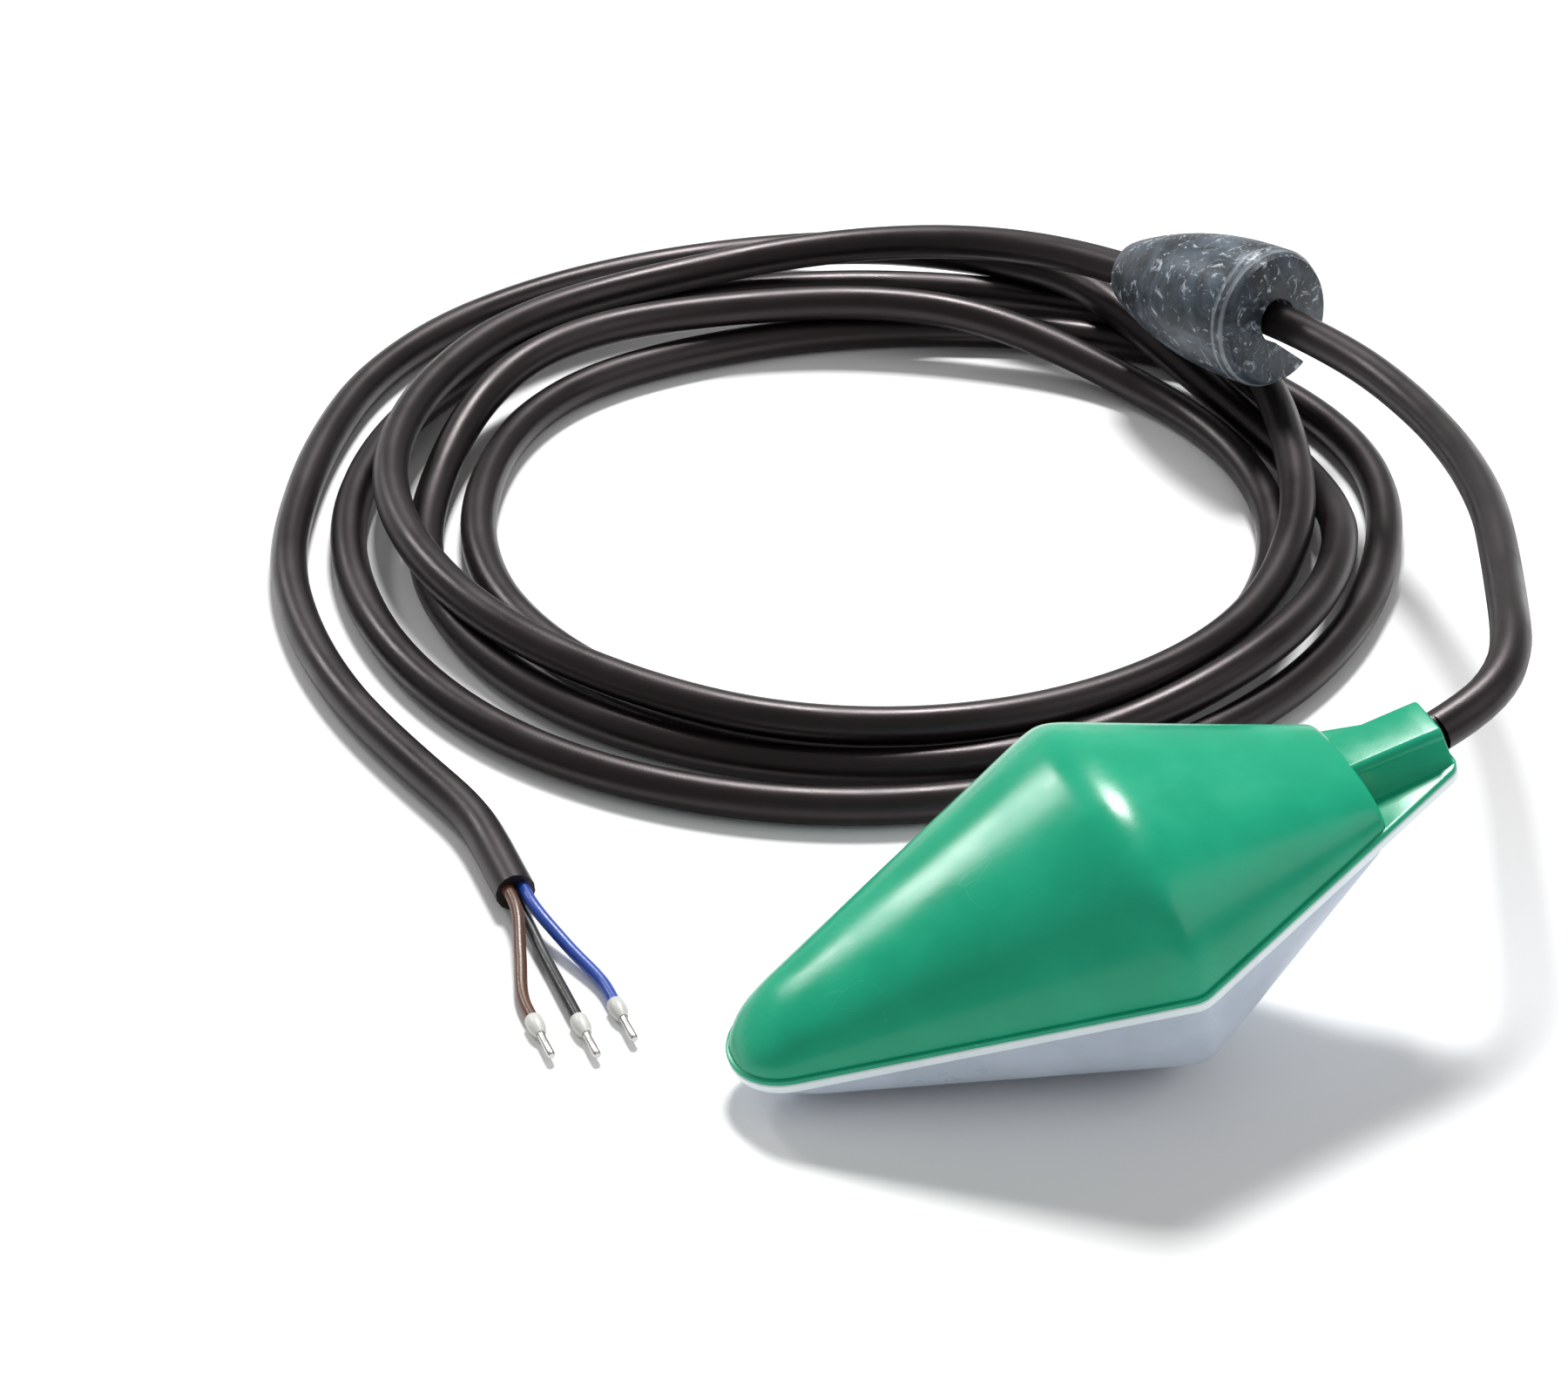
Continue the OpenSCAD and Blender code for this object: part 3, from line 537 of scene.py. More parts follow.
# %% Build the lower shell
lower = tip_over(dome("lower_shell_skin", inset=0, base=0.6, end_round=3.0, **LOWER))
join_cut(lower, plate("flange", [(0.6, -FLANGE_T), (0.2, -2.0), (0, -1.6), (0, -0.3), (0.3, 0)]), "UNION")
hollow = tip_over(dome("hollow", inset=WALL, base=0.6, end_round=1.0, count=48, **LOWER))
flange_inside = FLANGE_STEP + WALL - 0.2
flange_hollow = plate("rim_hollow", [(flange_inside, -1.85), (flange_inside, 1)])
join_cut(flange_hollow, box_tool(-90, SHELL_CUT - 0.6, -50, 50, -2, 3), "INTERSECT")
join_cut(hollow, flange_hollow, "UNION")
for x in CRADLES:
    rib = box_tool(x - CRADLE_HALF_T, x + CRADLE_HALF_T, -CRADLE_HALF, CRADLE_HALF, -50, -CAPSULE_FLOOR)
    join_cut(hollow, rib, "DIFFERENCE")
join_cut(hollow, box_tool(SADDLE_X - SADDLE_HALF, SADDLE_X + SADDLE_HALF, -13, 13, -50, 2), "DIFFERENCE")
join_cut(lower, hollow, "DIFFERENCE")
join_cut(lower, box_tool(SADDLE_X - 3.5, SADDLE_X + 3.5, -12.5, 12.5, -1.1, CABLE_AXIS_Z - 0.5), "UNION")
join_cut(lower, bar_tool(CABLE_D / 2, SADDLE_X - 6, SADDLE_X + 6, CABLE_AXIS_Z), "DIFFERENCE")
join_cut(lower, bar_tool(CABLE_HOLE_R, SHELL_CUT - 1, TAIL_REACH + 1, CABLE_AXIS_Z), "DIFFERENCE")
lower.data.transform(FLOAT_PLACE)
soft_look(lower)
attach(lower, "root")
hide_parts("lower_shell")
print("lower shell faces:", len(lower.data.polygons))

# %% [markdown]
# The counterweight is a turned iron bullet. A round face is added, then extruded and scaled again
# and again along its profile, as a lathe would leave it: chamfer, two scribed rings, a straight
# land and an ogive. A bore and a side slot let it be pushed on to the cable.

# %% Profile of the counterweight
WEIGHT_R, WEIGHT_STRAIGHT, WEIGHT_NOSE_R = 17.75, 9, 8.25
CHAMFER, SCRIBE = 2.2, 0.4
EDGE_RING, SCRIBED_RING = 2.4, 5.0
OGIVE_STEPS = 18
SLOT_TURN = math.radians(-50)
taper, drop = WEIGHT_LENGTH - WEIGHT_STRAIGHT, WEIGHT_R - WEIGHT_NOSE_R
ogive_r = (taper**2 + drop**2) / (2 * drop)
profile = [(0.0, WEIGHT_R - CHAMFER), (0.35, WEIGHT_R - CHAMFER + 0.75)]
profile += [(1.2, WEIGHT_R - 1.05), (2.1, WEIGHT_R - 0.55), (EDGE_RING, WEIGHT_R - 0.6)]
profile += [(2.8, WEIGHT_R - 0.1), (3.1, WEIGHT_R), (4.5, WEIGHT_R), (4.8, WEIGHT_R - 0.1)]
profile += [(SCRIBED_RING, WEIGHT_R - SCRIBE), (5.3, WEIGHT_R - 0.1), (5.6, WEIGHT_R)]
profile.append((WEIGHT_STRAIGHT, WEIGHT_R))
for i in range(1, OGIVE_STEPS + 1):
    s = taper * i / OGIVE_STEPS
    profile.append((WEIGHT_STRAIGHT + s, WEIGHT_R - ogive_r + math.sqrt(ogive_r**2 - s * s)))
profile[-1] = (WEIGHT_LENGTH - 0.5, profile[-1][1] + 0.1)
profile.append((WEIGHT_LENGTH, WEIGHT_NOSE_R - 0.9))

# %% Turn the counterweight
bpy.ops.object.select_all(action="DESELECT")
bpy.ops.mesh.primitive_circle_add(vertices=128, radius=profile[0][1], fill_type="NGON")
weight = fresh("counterweight_body")
bpy.ops.object.mode_set(mode="EDIT")
bpy.ops.mesh.select_all(action="SELECT")
for (z0, r0), (z1, r1) in zip(profile, profile[1:]):
    bpy.ops.mesh.extrude_region_move(TRANSFORM_OT_translate={"value": (0, 0, z1 - z0)})
    bpy.ops.transform.resize(value=(r1 / r0, r1 / r0, 1))
bpy.ops.object.mode_set(mode="OBJECT")
faces_out(weight)

# %% [markdown]
# The slot is cut with a prism whose mouth flares round two lips. Then a bevel on the sharp edges
# wears them down, because cast iron that is handled has no knife edges.

# %% Bore and slot
SLOT_HALF, LIP_R, BORE_R = 5.0, 2.0, 5.7
mouth = math.sqrt(WEIGHT_R**2 - (SLOT_HALF + LIP_R) ** 2) - LIP_R
lip_y = SLOT_HALF + LIP_R
side = [(0, SLOT_HALF)] + arc((mouth, lip_y), LIP_R, -90, 0, 8) + [(mouth + 8, lip_y)]
slot_plan = side + [(x, -y) for x, y in reversed(side)]
slot_tool = skin("slot_tool", [[(x, y, z) for x, y in slot_plan] for z in (-2, WEIGHT_LENGTH + 2)])
slot_tool.data.transform(Matrix.Rotation(SLOT_TURN, 4, "Z"))
bpy.ops.object.select_all(action="DESELECT")
bpy.ops.mesh.primitive_cylinder_add(
    vertices=64, radius=BORE_R, depth=WEIGHT_LENGTH + 6, location=(0, 0, WEIGHT_LENGTH / 2)
)
bore_tool = fresh("bore_tool")
bpy.ops.object.transform_apply(location=True, rotation=True, scale=True)
join_cut(slot_tool, bore_tool, "UNION")
join_cut(weight, slot_tool, "DIFFERENCE")
worn = weight.modifiers.new("worn_edges", "BEVEL")
worn.width = 0.7
worn.segments = 3
worn.limit_method = "ANGLE"
worn.angle_limit = math.radians(40)
worn.use_clamp_overlap = True
apply_all(weight)
weight.data.transform(
    Matrix.Scale(MM, 4)
    @ Matrix.Translation(WEIGHT_FACE)
    @ Matrix.Rotation(weight_heading, 4, "Z")
    @ Matrix.Rotation(math.pi / 2 + weight_dip, 4, "Y")
)
soft_look(weight, 35)
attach(weight, "root")
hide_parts("counterweight")
print("counterweight faces:", len(weight.data.polygons))

# %% [markdown]
# A wire end sleeve is a plastic collar with a thin metal tube in it. One is turned from two round
# faces, and each core gets a copy with its own mesh.


# %% Wire end sleeves
def turned(name, steps, sides):
    bpy.ops.object.select_all(action="DESELECT")
    bpy.ops.mesh.primitive_circle_add(vertices=sides, radius=steps[0][1], fill_type="NGON")
    piece = fresh(name)
    bpy.ops.object.mode_set(mode="EDIT")
    bpy.ops.mesh.select_all(action="SELECT")
    bpy.ops.transform.translate(value=(0, 0, steps[0][0]))
    for (z0, r0), (z1, r1) in zip(steps, steps[1:]):
        bpy.ops.mesh.extrude_region_move(TRANSFORM_OT_translate={"value": (0, 0, z1 - z0)})
        bpy.ops.transform.resize(value=(r1 / r0, r1 / r0, 1))
    bpy.ops.object.mode_set(mode="OBJECT")
    faces_out(piece)
    return piece


collar_steps = [(0, 1.5), (0.15, 1.75), (0.5, 1.9), (3.4, 1.85), (4.6, 1.6), (5.6, 1.25), (6.0, 1.1)]
pin_steps = [(5.2, 0.9), (5.3, 0.9), (9, 0.86), (9.4, 0.9), (13.2, 0.9), (13.7, 0.82), (14.0, 0.6)]
sleeves = {}
for paint, tip in core_tips.items():
    sleeve = turned("ferrule_sleeve_" + paint, collar_steps, 32)
    pin = turned("pin", pin_steps, 24)
    join_cut(sleeve, pin, "UNION")
    along_core = Matrix.Rotation(math.pi / 2, 4, "X")
    sleeve.data.transform(Matrix.Scale(MM, 4) @ Matrix.Translation(tip) @ along_core)
    soft_look(sleeve, 40)
    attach(sleeve, "root")
    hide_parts("ferrule_collars", "ferrule_pins")
    sleeves[paint] = sleeve

# %% [markdown]
# Finishes are node trees. A few short helpers place a node with its values and wire two sockets.
# Numbers that are the same all over a piece are set on the shader itself.


# %% Node helpers
def put(tree, kind, values=None, **settings):
    node = tree.nodes.new(kind)
    for key, value in settings.items():
        setattr(node, key, value)
    for key, value in (values or {}).items():
        node.inputs[key].default_value = value
    return node


def wire(tree, a, out, b, into):
    tree.links.new(a.outputs[out], b.inputs[into])


def range_of(tree, low, high, to_low=0.0, to_high=1.0):
    return put(
        tree,
        "ShaderNodeMapRange",
        {"From Min": low, "From Max": high, "To Min": to_low, "To Max": to_high},
        interpolation_type="SMOOTHSTEP",
    )


def mix_of(tree, a, b):
    node = put(tree, "ShaderNodeMix", data_type="RGBA")
    node.inputs[6].default_value = (*a, 1)
    node.inputs[7].default_value = (*b, 1)
    return node


def new_group(name, inputs, outputs):
    group = bpy.data.node_groups.new(name, "ShaderNodeTree")
    for label, kind, value in inputs:
        socket = group.interface.new_socket(label, in_out="INPUT", socket_type=kind)
        if value is not None:
            socket.default_value = value
    for label, kind in outputs:
        group.interface.new_socket(label, in_out="OUTPUT", socket_type=kind)
    return group, group.nodes.new("NodeGroupInput"), group.nodes.new("NodeGroupOutput")


def use(tree, group, vector, **values):
    node = tree.nodes.new("ShaderNodeGroup")
    node.node_tree = group
    tree.links.new(vector, node.inputs["Vector"])
    for key, value in values.items():
        node.inputs[key].default_value = value
    return node


def uneven(tree, place, wave_size, wave_depth, grain_size, grain_depth):
    waves = {"Wave Size": wave_size, "Wave Depth": wave_depth}
    return use(tree, relief, place, **waves, **{"Grain Size": grain_size, "Grain Depth": grain_depth})


def new_finish(name):
    finish = bpy.data.materials.new(name)
    finish.use_nodes = True
    tree = finish.node_tree
    shader = tree.nodes["Principled BSDF"]
    place = tree.nodes.new("ShaderNodeTexCoord").outputs["Object"]
    return finish, tree, shader, place


# %% [markdown]
# Handling leaves two kinds of marks on plastic and iron: specks where it was knocked, and short
# fine scratches. A group makes one mask of both, from noise that is cut off high and from a
# stretched pattern of cell edges.

# %% Handling marks
marks, marks_in, marks_out = new_group(
    "handling_marks",
    [
        ("Vector", "NodeSocketVector", None),
        ("Speck Size", "NodeSocketFloat", 500.0),
        ("Scratch Size", "NodeSocketFloat", 60.0),
    ],
    [("Marks", "NodeSocketFloat")],
)
speck = put(marks, "ShaderNodeTexNoise", {"Detail": 2.0, "Roughness": 0.6})
speck_cut = range_of(marks, 0.70, 0.76)
where = put(marks, "ShaderNodeTexNoise", {"Scale": 45.0, "Detail": 2.0})
where_cut = range_of(marks, 0.50, 0.68)
specks = put(marks, "ShaderNodeMath", operation="MULTIPLY")
wander = put(marks, "ShaderNodeTexNoise", {"Scale": 70.0, "Detail": 1.0})
push = put(marks, "ShaderNodeVectorMath", {1: (0.012, 0.012, 0.012)}, operation="MULTIPLY")
bent = put(marks, "ShaderNodeVectorMath", operation="ADD")
cells = put(marks, "ShaderNodeTexVoronoi", {"Randomness": 1.0}, feature="DISTANCE_TO_EDGE")
thin = range_of(marks, 0.0, 0.012, 1.0, 0.0)
patch = put(marks, "ShaderNodeTexNoise", {"Scale": 30.0, "Detail": 3.0})
patch_cut = range_of(marks, 0.56, 0.70)
scratches = put(marks, "ShaderNodeMath", operation="MULTIPLY")
total = put(marks, "ShaderNodeMath", operation="MAXIMUM")
for node in (speck, where, wander, patch):
    wire(marks, marks_in, "Vector", node, "Vector")
wire(marks, marks_in, "Speck Size", speck, "Scale")
wire(marks, speck, "Fac", speck_cut, "Value")
wire(marks, where, "Fac", where_cut, "Value")
wire(marks, speck_cut, "Result", specks, 0)
wire(marks, where_cut, "Result", specks, 1)
wire(marks, wander, "Color", push, 0)
wire(marks, marks_in, "Vector", bent, 0)
wire(marks, push, "Vector", bent, 1)
wire(marks, bent, "Vector", cells, "Vector")
wire(marks, marks_in, "Scratch Size", cells, "Scale")
wire(marks, cells, "Distance", thin, "Value")
wire(marks, patch, "Fac", patch_cut, "Value")
wire(marks, thin, "Result", scratches, 0)
wire(marks, patch_cut, "Result", scratches, 1)
wire(marks, specks, "Value", total, 0)
wire(marks, scratches, "Value", total, 1)
wire(marks, total, "Value", marks_out, "Marks")

# %% [markdown]
# No moulded, cast or extruded skin is perfectly even. A second group gives two sizes of relief as a
# normal, a slow wave and a fine grain, and the slow wave again as a value to shift colours with.

# %% Uneven skin
relief, relief_in, relief_out = new_group(
    "uneven_skin",
    [
        ("Vector", "NodeSocketVector", None),
        ("Wave Size", "NodeSocketFloat", 60.0),
        ("Wave Depth", "NodeSocketFloat", 0.2),
        ("Grain Size", "NodeSocketFloat", 1500.0),
        ("Grain Depth", "NodeSocketFloat", 0.1),
    ],
    [("Wave", "NodeSocketFloat"), ("Grain", "NodeSocketFloat"), ("Normal", "NodeSocketVector")],
)
wave = put(relief, "ShaderNodeTexNoise", {"Detail": 3.0, "Roughness": 0.5})
grain = put(relief, "ShaderNodeTexNoise", {"Detail": 2.0, "Roughness": 0.6})
wave_bump = put(relief, "ShaderNodeBump", {"Distance": 0.001})
grain_bump = put(relief, "ShaderNodeBump", {"Distance": 0.0001})
wire(relief, relief_in, "Vector", wave, "Vector")
wire(relief, relief_in, "Vector", grain, "Vector")
wire(relief, relief_in, "Wave Size", wave, "Scale")
wire(relief, relief_in, "Grain Size", grain, "Scale")
wire(relief, wave, "Fac", wave_bump, "Height")
wire(relief, relief_in, "Wave Depth", wave_bump, "Strength")
wire(relief, grain, "Fac", grain_bump, "Height")
wire(relief, relief_in, "Grain Depth", grain_bump, "Strength")
wire(relief, wave_bump, "Normal", grain_bump, "Normal")
wire(relief, wave, "Fac", relief_out, "Wave")
wire(relief, grain, "Fac", relief_out, "Grain")
wire(relief, grain_bump, "Normal", relief_out, "Normal")


# %% [markdown]
# The two shells are glossy moulded polypropylene. The colour drifts a little, the gloss is broken
# where it was rubbed, and pale marks show where it was knocked.


# %% Moulded shell plastic
def moulded(name, colour, shade, mark, gloss, wave_depth, see_through):
    finish, tree, shader, place = new_finish(name)
    skin_of = uneven(tree, place, 75.0, wave_depth, 2200.0, 0.12)
    worn = use(tree, marks, place, **{"Speck Size": 420.0, "Scratch Size": 55.0})
    drift = mix_of(tree, shade, colour)
    drift_by = range_of(tree, 0.35, 0.65)
    marked = mix_of(tree, (0, 0, 0), mark)
    faint = put(tree, "ShaderNodeMath", {1: 0.35}, operation="MULTIPLY")
    rough = range_of(tree, 0.3, 0.7, gloss * 0.85, gloss * 1.25)
    rubbed = put(tree, "ShaderNodeMath", {1: 0.10}, operation="MULTIPLY_ADD")
    wire(tree, skin_of, "Wave", drift_by, "Value")
    wire(tree, drift_by, "Result", drift, "Factor")
    wire(tree, worn, "Marks", faint, 0)
    wire(tree, faint, "Value", marked, "Factor")
    wire(tree, drift, 2, marked, 6)
    wire(tree, marked, 2, shader, "Base Color")
    wire(tree, skin_of, "Wave", rough, "Value")
    wire(tree, worn, "Marks", rubbed, 0)
    wire(tree, rough, "Result", rubbed, 2)
    wire(tree, rubbed, "Value", shader, "Roughness")
    wire(tree, skin_of, "Normal", shader, "Normal")
    shader.inputs["IOR"].default_value = 1.49
    shader.inputs["Specular IOR Level"].default_value = 0.32
    shader.inputs["Subsurface Weight"].default_value = see_through
    shader.inputs["Subsurface Radius"].default_value = (1.0, 0.9, 0.8)
    shader.inputs["Subsurface Scale"].default_value = 0.002
    return finish


shell_green = moulded(
    "shell_green",
    colour=(0.0070, 0.362, 0.197),
    shade=(0.0060, 0.332, 0.178),
    mark=(0.10, 0.48, 0.33),
    gloss=0.22,
    wave_depth=0.06,
    see_through=0.04,
)
# The wall and the flange are one white plastic in two copies: the wall's copy is painted darker blue-grey as
# painted shade, and the flange's copy is painted lighter as painted light where it faces up.
shell_white_painted_shade = moulded(
    "shell_white_painted_shade",
    colour=(0.52, 0.59, 0.69),
    shade=(0.47, 0.54, 0.63),
    mark=(0.76, 0.81, 0.87),
    gloss=0.32,
    wave_depth=0.08,
    see_through=0.10,
)
flange_white_painted_light = moulded(
    "flange_white_painted_light",
    colour=(0.84, 0.93, 0.96),
    shade=(0.80, 0.89, 0.93),
    mark=(0.95, 0.97, 0.98),
    gloss=0.28,
    wave_depth=0.06,
    see_through=0.10,
)


# %% [markdown]
# The cable's rubber sheath is black with a brown-grey bloom on it, and it reflects light softly
# along its top. A warm tint on the reflection does that, over a roughness that varies.


# %% Cable sheath
def sheath(name, colour, bloom, gloss):
    finish, tree, shader, place = new_finish(name)
    skin_of = uneven(tree, place, 40.0, 0.10, 2600.0, 0.35)
    dust = put(tree, "ShaderNodeTexNoise", {"Scale": 16.0, "Detail": 5.0, "Roughness": 0.62})
    dusted = range_of(tree, 0.40, 0.75)
    paint = mix_of(tree, colour, bloom)
    rough = range_of(tree, 0.3, 0.7, gloss - 0.06, gloss + 0.08)
    tree.links.new(place, dust.inputs["Vector"])
    wire(tree, dust, "Fac", dusted, "Value")
    wire(tree, dusted, "Result", paint, "Factor")
    wire(tree, paint, 2, shader, "Base Color")
    wire(tree, skin_of, "Wave", rough, "Value")
    wire(tree, rough, "Result", shader, "Roughness")
    wire(tree, skin_of, "Normal", shader, "Normal")
    shader.inputs["Specular IOR Level"].default_value = 0.42
    shader.inputs["Specular Tint"].default_value = (1.0, 0.86, 0.87, 1)
    return finish


sheath_rubber = sheath(
    "sheath_rubber", colour=(0.0032, 0.0019, 0.0021), bloom=(0.0085, 0.0058, 0.0062), gloss=0.35
)


# %% [markdown]
# The counterweight is dark cast iron with a cloudy grey bloom, like slate. Stretched and folded
# noise gives the streaks, small pits and a grain give the casting, and worn marks catch the light.
# The lathe's two scribed rings are worn pale, each at its own distance along the weight.


# %% Cast iron
def cast_iron(name):
    finish, tree, shader, place = new_finish(name)
    skin_of = uneven(tree, place, 90.0, 0.35, 1400.0, 0.7)
    worn = use(tree, marks, place, **{"Speck Size": 700.0, "Scratch Size": 95.0})
    cloud = put(tree, "ShaderNodeTexNoise", {"Scale": 42.0, "Detail": 6.0, "Roughness": 0.62})
    cloud.inputs["Distortion"].default_value = 2.2
    cloudy = range_of(tree, 0.38, 0.70)
    vein = put(tree, "ShaderNodeTexNoise", {"Scale": 150.0, "Detail": 8.0, "Roughness": 0.74})
    vein.inputs["Distortion"].default_value = 2.6
    veined = range_of(tree, 0.54, 0.66, 0.0, 0.90)
    base = mix_of(tree, (0.010, 0.0145, 0.020), (0.066, 0.090, 0.116))
    streaked = mix_of(tree, (0, 0, 0), (0.50, 0.56, 0.62))
    scuffed = mix_of(tree, (0, 0, 0), (0.46, 0.50, 0.54))
    rough = range_of(tree, 0.3, 0.7, 0.36, 0.55)
    for node in (cloud, vein):
        tree.links.new(place, node.inputs["Vector"])
    wire(tree, cloud, "Fac", cloudy, "Value")
    wire(tree, cloudy, "Result", base, "Factor")
    wire(tree, vein, "Fac", veined, "Value")
    wire(tree, base, 2, streaked, 6)
    wire(tree, veined, "Result", streaked, "Factor")
    wire(tree, streaked, 2, scuffed, 6)
    along = put(tree, "ShaderNodeVectorMath", {1: tuple(WEIGHT_AXIS)}, operation="DOT_PRODUCT")
    tree.links.new(place, along.inputs[0])
    pale, out = worn, "Marks"
    for station in (EDGE_RING, SCRIBED_RING):
        ring_place = (WEIGHT_FACE.dot(WEIGHT_AXIS) + station) * MM
        ring_at = put(tree, "ShaderNodeMath", {1: ring_place}, operation="SUBTRACT")
        away = put(tree, "ShaderNodeMath", operation="ABSOLUTE")
        ring = range_of(tree, 0.00075, 0.00015)
        patchy = put(tree, "ShaderNodeMath", operation="MULTIPLY")
        both = put(tree, "ShaderNodeMath", operation="MAXIMUM")
        wire(tree, along, "Value", ring_at, 0)
        wire(tree, ring_at, "Value", away, 0)
        wire(tree, away, "Value", ring, "Value")
        wire(tree, ring, "Result", patchy, 0)
        wire(tree, cloud, "Fac", patchy, 1)
        wire(tree, pale, out, both, 0)
        wire(tree, patchy, "Value", both, 1)
        pale, out = both, "Value"
    wire(tree, pale, out, scuffed, "Factor")
    wire(tree, scuffed, 2, shader, "Base Color")
    wire(tree, vein, "Fac", rough, "Value")
    wire(tree, rough, "Result", shader, "Roughness")
    wire(tree, skin_of, "Normal", shader, "Normal")
    shader.inputs["Metallic"].default_value = 0.15
    return finish


weight_iron = cast_iron("weight_iron")


# %% [markdown]
# Smaller parts share two recipes. One is a plain plastic or rubber whose colour and gloss drift a
# little. The other is a metal with a fine brushed grain.


# %% Small plastics and metals
def small_plastic(name, colour, gloss, grain_depth=0.25):
    finish, tree, shader, place = new_finish(name)
    skin_of = uneven(tree, place, 160.0, 0.05, 3000.0, grain_depth)
    paint = mix_of(tree, [c * 0.78 for c in colour], [min(1.0, c * 1.12) for c in colour])
    rough = range_of(tree, 0.3, 0.7, gloss - 0.05, gloss + 0.08)
    wire(tree, skin_of, "Wave", paint, "Factor")
    wire(tree, paint, 2, shader, "Base Color")
    wire(tree, skin_of, "Grain", rough, "Value")
    wire(tree, rough, "Result", shader, "Roughness")
    wire(tree, skin_of, "Normal", shader, "Normal")
    return finish


def bright_metal(name, colour, gloss):
    finish, tree, shader, place = new_finish(name)
    skin_of = uneven(tree, place, 220.0, 0.04, 4000.0, 0.15)
    worn = use(tree, marks, place, **{"Speck Size": 1500.0, "Scratch Size": 300.0})
    paint = mix_of(tree, [c * 0.82 for c in colour], colour)
    rough = range_of(tree, 0.0, 1.0, gloss, gloss + 0.25)
    wire(tree, skin_of, "Wave", paint, "Factor")
    wire(tree, paint, 2, shader, "Base Color")
    wire(tree, worn, "Marks", rough, "Value")
    wire(tree, rough, "Result", shader, "Roughness")
    wire(tree, skin_of, "Normal", shader, "Normal")
    shader.inputs["Metallic"].default_value = 1.0
    return finish


capsule_plastic = small_plastic("capsule_plastic", (0.52, 0.52, 0.50), 0.42)
track_plastic = small_plastic("track_plastic", (0.74, 0.76, 0.78), 0.34)
switch_plastic = small_plastic("switch_plastic", (0.018, 0.018, 0.020), 0.48)
button_plastic = small_plastic("button_plastic", (0.16, 0.045, 0.025), 0.36)
collar_plastic = small_plastic("collar_plastic", (0.60, 0.60, 0.57), 0.36)
seal_rubber = small_plastic("seal_rubber", (0.030, 0.030, 0.032), 0.58, 0.5)
core_paints = {
    "brown": small_plastic("core_brown", (0.105, 0.040, 0.018), 0.34),
    "blue": small_plastic("core_blue", (0.012, 0.060, 0.360), 0.34),
    "black": small_plastic("core_black", (0.012, 0.012, 0.013), 0.36),
}
polished_steel = bright_metal("polished_steel", (0.62, 0.63, 0.65), 0.16)
plated_steel = bright_metal("plated_steel", (0.66, 0.65, 0.62), 0.28)
terminal_brass = bright_metal("terminal_brass", (0.72, 0.52, 0.22), 0.26)


# %% Put the finishes on
def finish_with(piece, *finishes):
    piece.data.materials.clear()
    for finish in finishes:
        piece.data.materials.append(finish)


COLLAR_END = 6.05 * MM
finish_with(upper, shell_green)
# Flange faces take the lighter painted-light copy, the wall takes the darker painted-shade copy.
finish_with(lower, shell_white_painted_shade, flange_white_painted_light)
to_float = FLOAT_PLACE.inverted()
for face in lower.data.polygons:
    on_flange = (to_float @ face.center).z > -FLANGE_T - 0.05
    face.material_index = 1 if on_flange else 0
finish_with(cable, sheath_rubber)
finish_with(weight, weight_iron)
for paint, (core, _) in core_cords.items():
    finish_with(core, core_paints[paint])
for paint, sleeve in sleeves.items():
    finish_with(sleeve, collar_plastic, plated_steel)
    tip = core_tips[paint] * MM
    for face in sleeve.data.polygons:
        on_pin = tip.y - face.center.y > COLLAR_END
        face.material_index = 1 if on_pin else 0

# %% [markdown]
# Inside the float the CAD solids are right as they are: the sealed capsule, the ball in its trough
# and the microswitch. They only need their own finishes.

# %% Finish the sealed mechanism
inner = {
    "switch_housing": capsule_plastic,
    "cover_gasket": seal_rubber,
    "housing_cover": capsule_plastic,
    "cover_screws": plated_steel,
    "entry_seal": seal_rubber,
    "cable_clamp": capsule_plastic,
    "clamp_screws": plated_steel,
    "ball_track": track_plastic,
    "steel_ball": polished_steel,
    "microswitch_case": switch_plastic,
    "switch_button": button_plastic,
    "switch_lever": plated_steel,
    "lever_pin": plated_steel,
    "switch_terminals": terminal_brass,
    "switch_screws": plated_steel,
    "core_brown": core_paints["brown"],
    "core_blue": core_paints["blue"],
    "core_black": core_paints["black"],
    "cable_entry": sheath_rubber,
}
for node_name, finish in inner.items():
    finish_with(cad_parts[node_name], finish)
print("finished nodes:", len(inner))

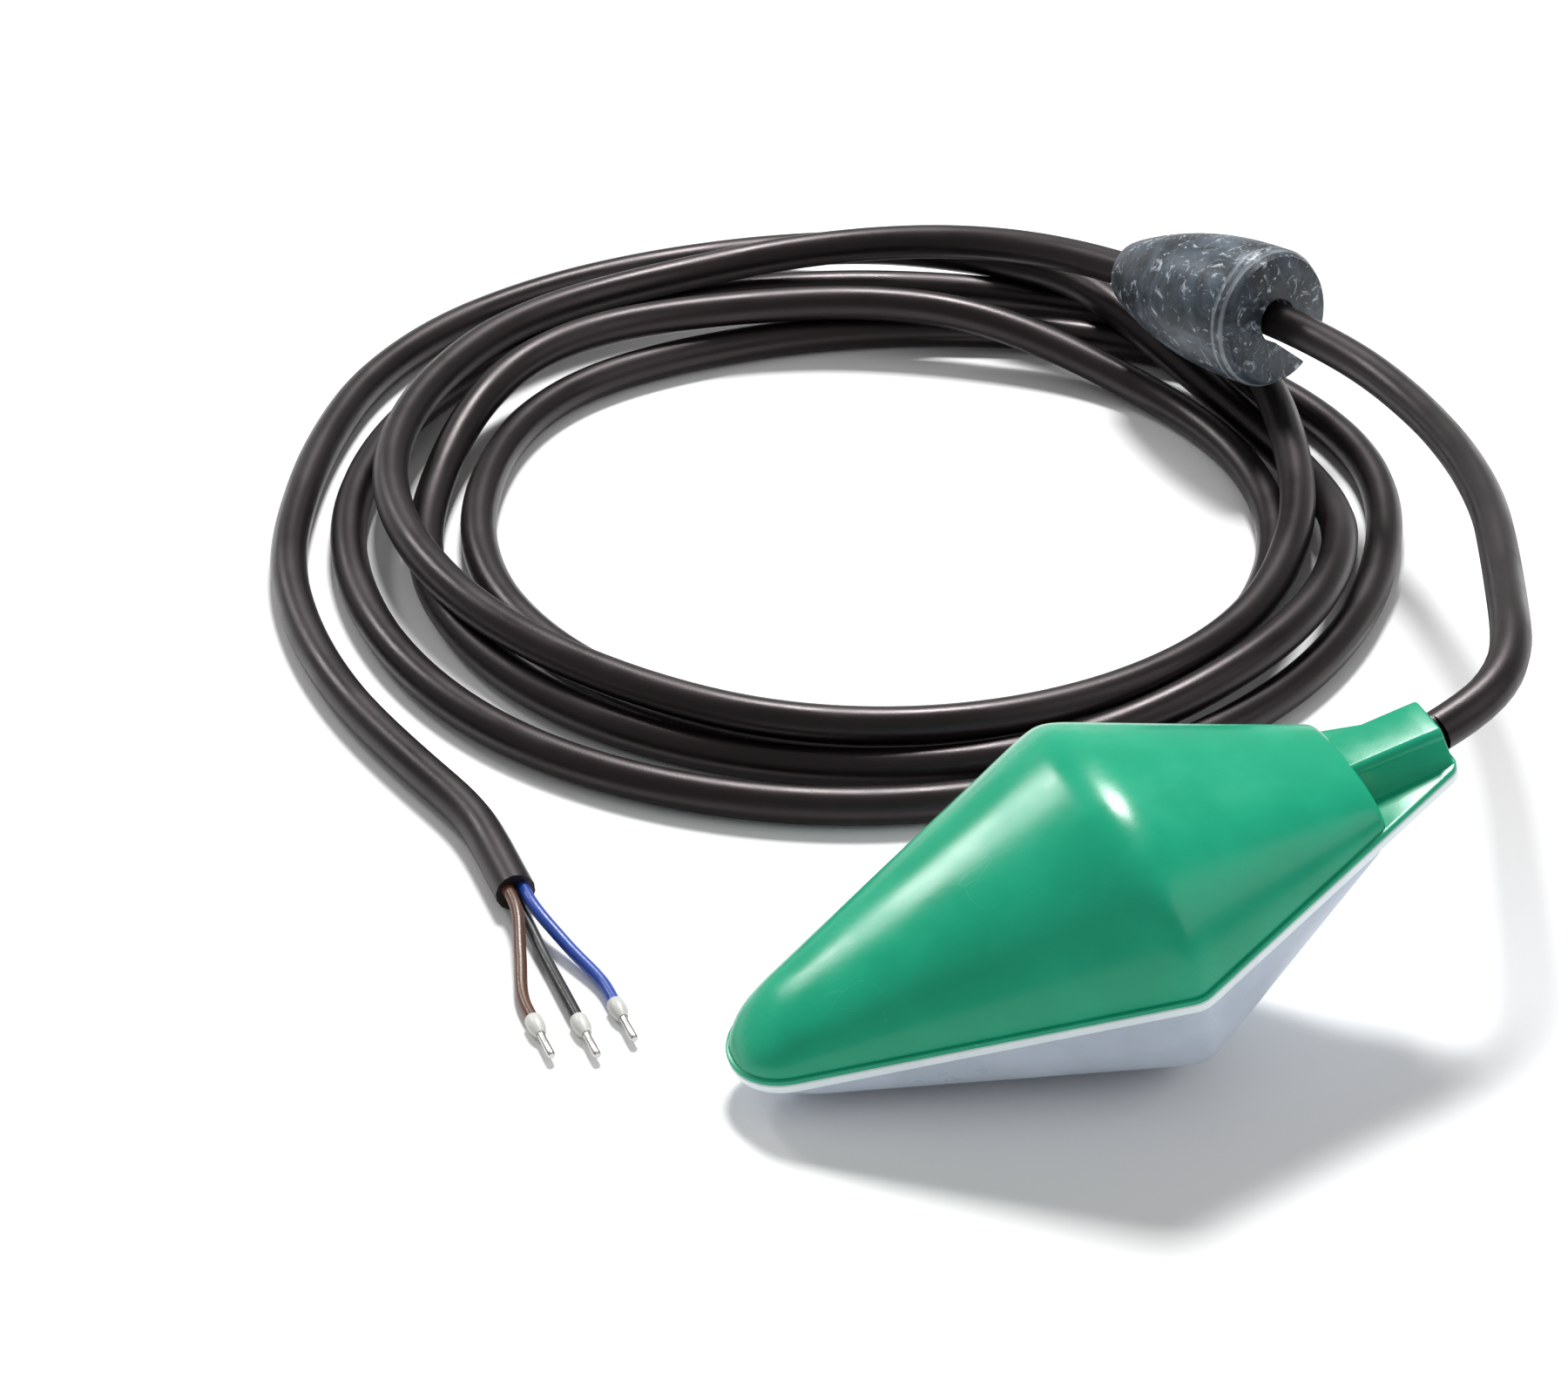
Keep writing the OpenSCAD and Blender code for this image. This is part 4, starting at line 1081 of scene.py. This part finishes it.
# %% [markdown]
# The stage is a pale plain floor under soft lights. A small soft box low behind the coil draws the
# long highlight on the float's nose side: its place was worked out from where that highlight lies. A
# brighter one high behind it at the right lights the crest, the tops of the strands and the weight,
# and a wide one at the right in front fills the near sides.

# %% Floor
bpy.ops.object.select_all(action="DESELECT")
bpy.ops.mesh.primitive_plane_add(size=14, location=(0, 2, 0))
floor = fresh("floor")
floor_paint, floor_tree, floor_shader, floor_place = new_finish("floor_paint")
floor_shade = put(floor_tree, "ShaderNodeTexNoise", {"Scale": 1.5, "Detail": 2.0})
floor_mix = mix_of(floor_tree, (0.90, 0.90, 0.90), (0.93, 0.93, 0.93))
floor_tree.links.new(floor_place, floor_shade.inputs["Vector"])
wire(floor_tree, floor_shade, "Fac", floor_mix, "Factor")
wire(floor_tree, floor_mix, 2, floor_shader, "Base Color")
floor_shader.inputs["Roughness"].default_value = 0.9
floor_shader.inputs["Specular IOR Level"].default_value = 0.1
finish_with(floor, floor_paint)

# %% Lights
world = bpy.data.worlds.new("studio")
world.use_nodes = True
sky = world.node_tree.nodes["Background"]
sky.inputs["Color"].default_value = (1.0, 1.0, 1.0, 1)
sky.inputs["Strength"].default_value = 0.38
bpy.context.scene.world = world


def soft_box(name, place, aim, size_x, size_y, power):
    lamp = bpy.data.lights.new(name, "AREA")
    lamp.shape = "RECTANGLE"
    lamp.size, lamp.size_y, lamp.energy = size_x, size_y, power
    light = bpy.data.objects.new(name, lamp)
    light.location = place
    light.rotation_euler = (Vector(aim) - Vector(place)).to_track_quat("-Z", "Y").to_euler()
    bpy.context.scene.collection.objects.link(light)


soft_box("back_strip", place=(-0.76, 1.80, 1.10), aim=(0, 0, 0.05), size_x=0.34, size_y=0.30, power=9)
soft_box("key_box", place=(0.44, 1.28, 1.85), aim=(0.03, 0.15, 0), size_x=0.52, size_y=0.42, power=56)
soft_box("fill_box", place=(1.7, -1.2, 1.5), aim=(0, 0.1, 0.03), size_x=1.6, size_y=1.6, power=11)

# %% [markdown]
# Standard colours keep the white background white and the green as bright as it is.

# %% Finish
bpy.context.scene.view_settings.view_transform = "Standard"
